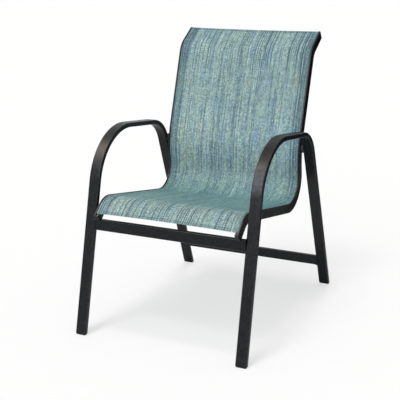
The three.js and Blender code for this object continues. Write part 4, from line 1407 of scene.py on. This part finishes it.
class CHAIR_OT_stage(Operator):
    """Pale floor, soft studio light and the camera"""
    bl_idname = "chair.stage"
    bl_label = "Stage"

    def execute(self, context):
        scene = context.scene
        scene.view_settings.view_transform = "Standard"
        angles = np.linspace(0, 2 * math.pi, FLOOR_SIDES, endpoint=False)
        rim = np.stack([FLOOR_RADIUS * np.cos(angles), FLOOR_RADIUS * np.sin(angles),
                        np.full(FLOOR_SIDES, FLOOR_LEVEL)], -1)
        self.flat(scene, "studio_floor", rim.tolist(), self.floor_paint(scene))
        self.sky(scene)
        for name, (source, spread, level, gloss) in SOFTBOXES.items():
            self.sun(scene, name, source, math.radians(spread), level).visible_glossy = gloss
        self.cards(scene)
        self.camera(scene)
        return {"FINISHED"}

    def flat(self, scene, name, corners, paint):
        """A part of the stage with one face."""
        mesh = bpy.data.meshes.new(name)
        mesh.from_pydata(corners, [], [list(range(len(corners)))])
        mesh.materials.append(paint)
        made = bpy.data.objects.new(name, mesh)
        scene.collection.objects.link(made)
        return made

    def floor_paint(self, scene):
        """Matt white floor paint. The camera sees a share of it as plain white, which thins the shadow."""
        paint, add, _ = material("Matt studio floor paint", {
            "Base Color": scene.chair_colours.floor, "Roughness": 1.0, "Specular IOR Level": 0.0})
        shader, output = paint.node_tree.nodes
        ray = add("ShaderNodeLightPath").outputs["Is Camera Ray"]
        part = add("times", ray, FLOOR_WHITE)
        white = add("ShaderNodeEmission", Color=linear(WHITE), Strength=1.0)
        mixed = add("ShaderNodeMixShader", part, shader, white)
        supply(paint.node_tree, output, {"Surface": mixed})
        return paint

    def sky(self, scene):
        """White for what is seen directly or in a reflection, a plain level of light for the rest."""
        world = bpy.data.worlds.new("Studio")
        scene.world = world
        world.use_nodes = True
        world.node_tree.nodes.clear()
        add = partial(node, world.node_tree)
        ray = add("ShaderNodeLightPath").outputs
        seen = add("larger", ray["Is Camera Ray"], ray["Is Glossy Ray"])
        seen = add("larger", seen, ray["Is Transmission Ray"])
        strength = add("range", seen, 0, 1, SKY_LEVEL, 1.0)
        back = add("ShaderNodeBackground", Color=linear(WHITE), Strength=strength)
        add("ShaderNodeOutputWorld", Surface=back)

    def sun(self, scene, name, source, spread, level):
        """A soft light from a direction; the level is what it adds to a white surface that faces it."""
        data = bpy.data.lights.new(name, "SUN")
        data.angle, data.energy = spread, level * math.pi
        lamp = bpy.data.objects.new(name, data)
        lamp.rotation_mode = "QUATERNION"
        lamp.rotation_quaternion = Vector(source).to_track_quat("Z", "Y")
        scene.collection.objects.link(lamp)
        return lamp

    def cards(self, scene):
        """Cards round the set that only gloss sees: black felt flags and a grey one keep the tubes' outer
        sides dark, and lit ones give both arms their gleam and the rear bar a little light."""
        for name, (corners, strength, tint) in CARDS.items():
            felt, _, _ = material(f"Card {name}", {
                "Base Color": linear("#050505"), "Roughness": 1.0, "Specular IOR Level": 0.0,
                "Emission Color": linear(tint), "Emission Strength": strength})
            card = self.flat(scene, name, corners, felt)
            for way in ("camera", "diffuse", "transmission", "volume_scatter", "shadow"):
                setattr(card, f"visible_{way}", False)

    def camera(self, scene):
        """The photograph's view: azimuth from behind the chair, pitch downwards, roll about the view."""
        az, pitch, roll = CAMERA_AZIMUTH, CAMERA_PITCH, CAMERA_ROLL
        look = Vector((-math.sin(az) * math.cos(pitch), math.cos(az) * math.cos(pitch), -math.sin(pitch)))
        right = Vector((math.cos(az), math.sin(az), 0))
        up = right.cross(look)
        right, up = (right * math.cos(roll) + up * math.sin(roll),
                     up * math.cos(roll) - right * math.sin(roll))
        data = bpy.data.cameras.new("photo_camera")
        data.sensor_width, data.lens = SENSOR_WIDTH, CAMERA_LENS
        camera = bpy.data.objects.new("photo_camera", data)
        turn = Matrix((right, up, -look)).transposed().to_4x4()
        camera.matrix_world = Matrix.Translation(CAMERA_PLACE) @ turn
        scene.collection.objects.link(camera)
        scene.camera = camera


class CHAIR_PT_pieces(Panel):
    """Lists the chair's pieces in the sidebar"""
    bl_label = "Sling Patio Chair"
    bl_idname = "CHAIR_PT_pieces"
    bl_space_type = "VIEW_3D"
    bl_region_type = "UI"
    bl_category = "Chair"

    def draw(self, context):
        for operator in OPERATORS:
            self.layout.operator(operator.bl_idname)
        for group in GROUPS:
            values = getattr(context.scene, group)
            box = self.layout.box()
            for key in values.__annotations__:
                box.prop(values, key)


GROUPS = {
    "chair_frame": ChairFrameSizes, "chair_rail": ChairRailSizes,
    "chair_sling": ChairSlingSizes, "chair_colours": ChairColours,
}
OPERATORS = (
    CHAIR_OT_side_frames, CHAIR_OT_foot_glides, CHAIR_OT_cross_bars, CHAIR_OT_sling_rails,
    CHAIR_OT_rail_caps, CHAIR_OT_rail_joints, CHAIR_OT_spreader_bars, CHAIR_OT_hem_rods, CHAIR_OT_sling,
    CHAIR_OT_stage,
)


def register():
    for known in (*GROUPS.values(), *OPERATORS, CHAIR_PT_pieces):
        bpy.utils.register_class(known)
    for name, group in GROUPS.items():
        setattr(bpy.types.Scene, name, PointerProperty(type=group))


def unregister():
    for name in GROUPS:
        delattr(bpy.types.Scene, name)
    for known in reversed((*GROUPS.values(), *OPERATORS, CHAIR_PT_pieces)):
        bpy.utils.unregister_class(known)


def main():
    register()
    for operator in OPERATORS:
        group, name = operator.bl_idname.split(".")
        getattr(getattr(bpy.ops, group), name)()


if __name__ == "__main__":
    main()
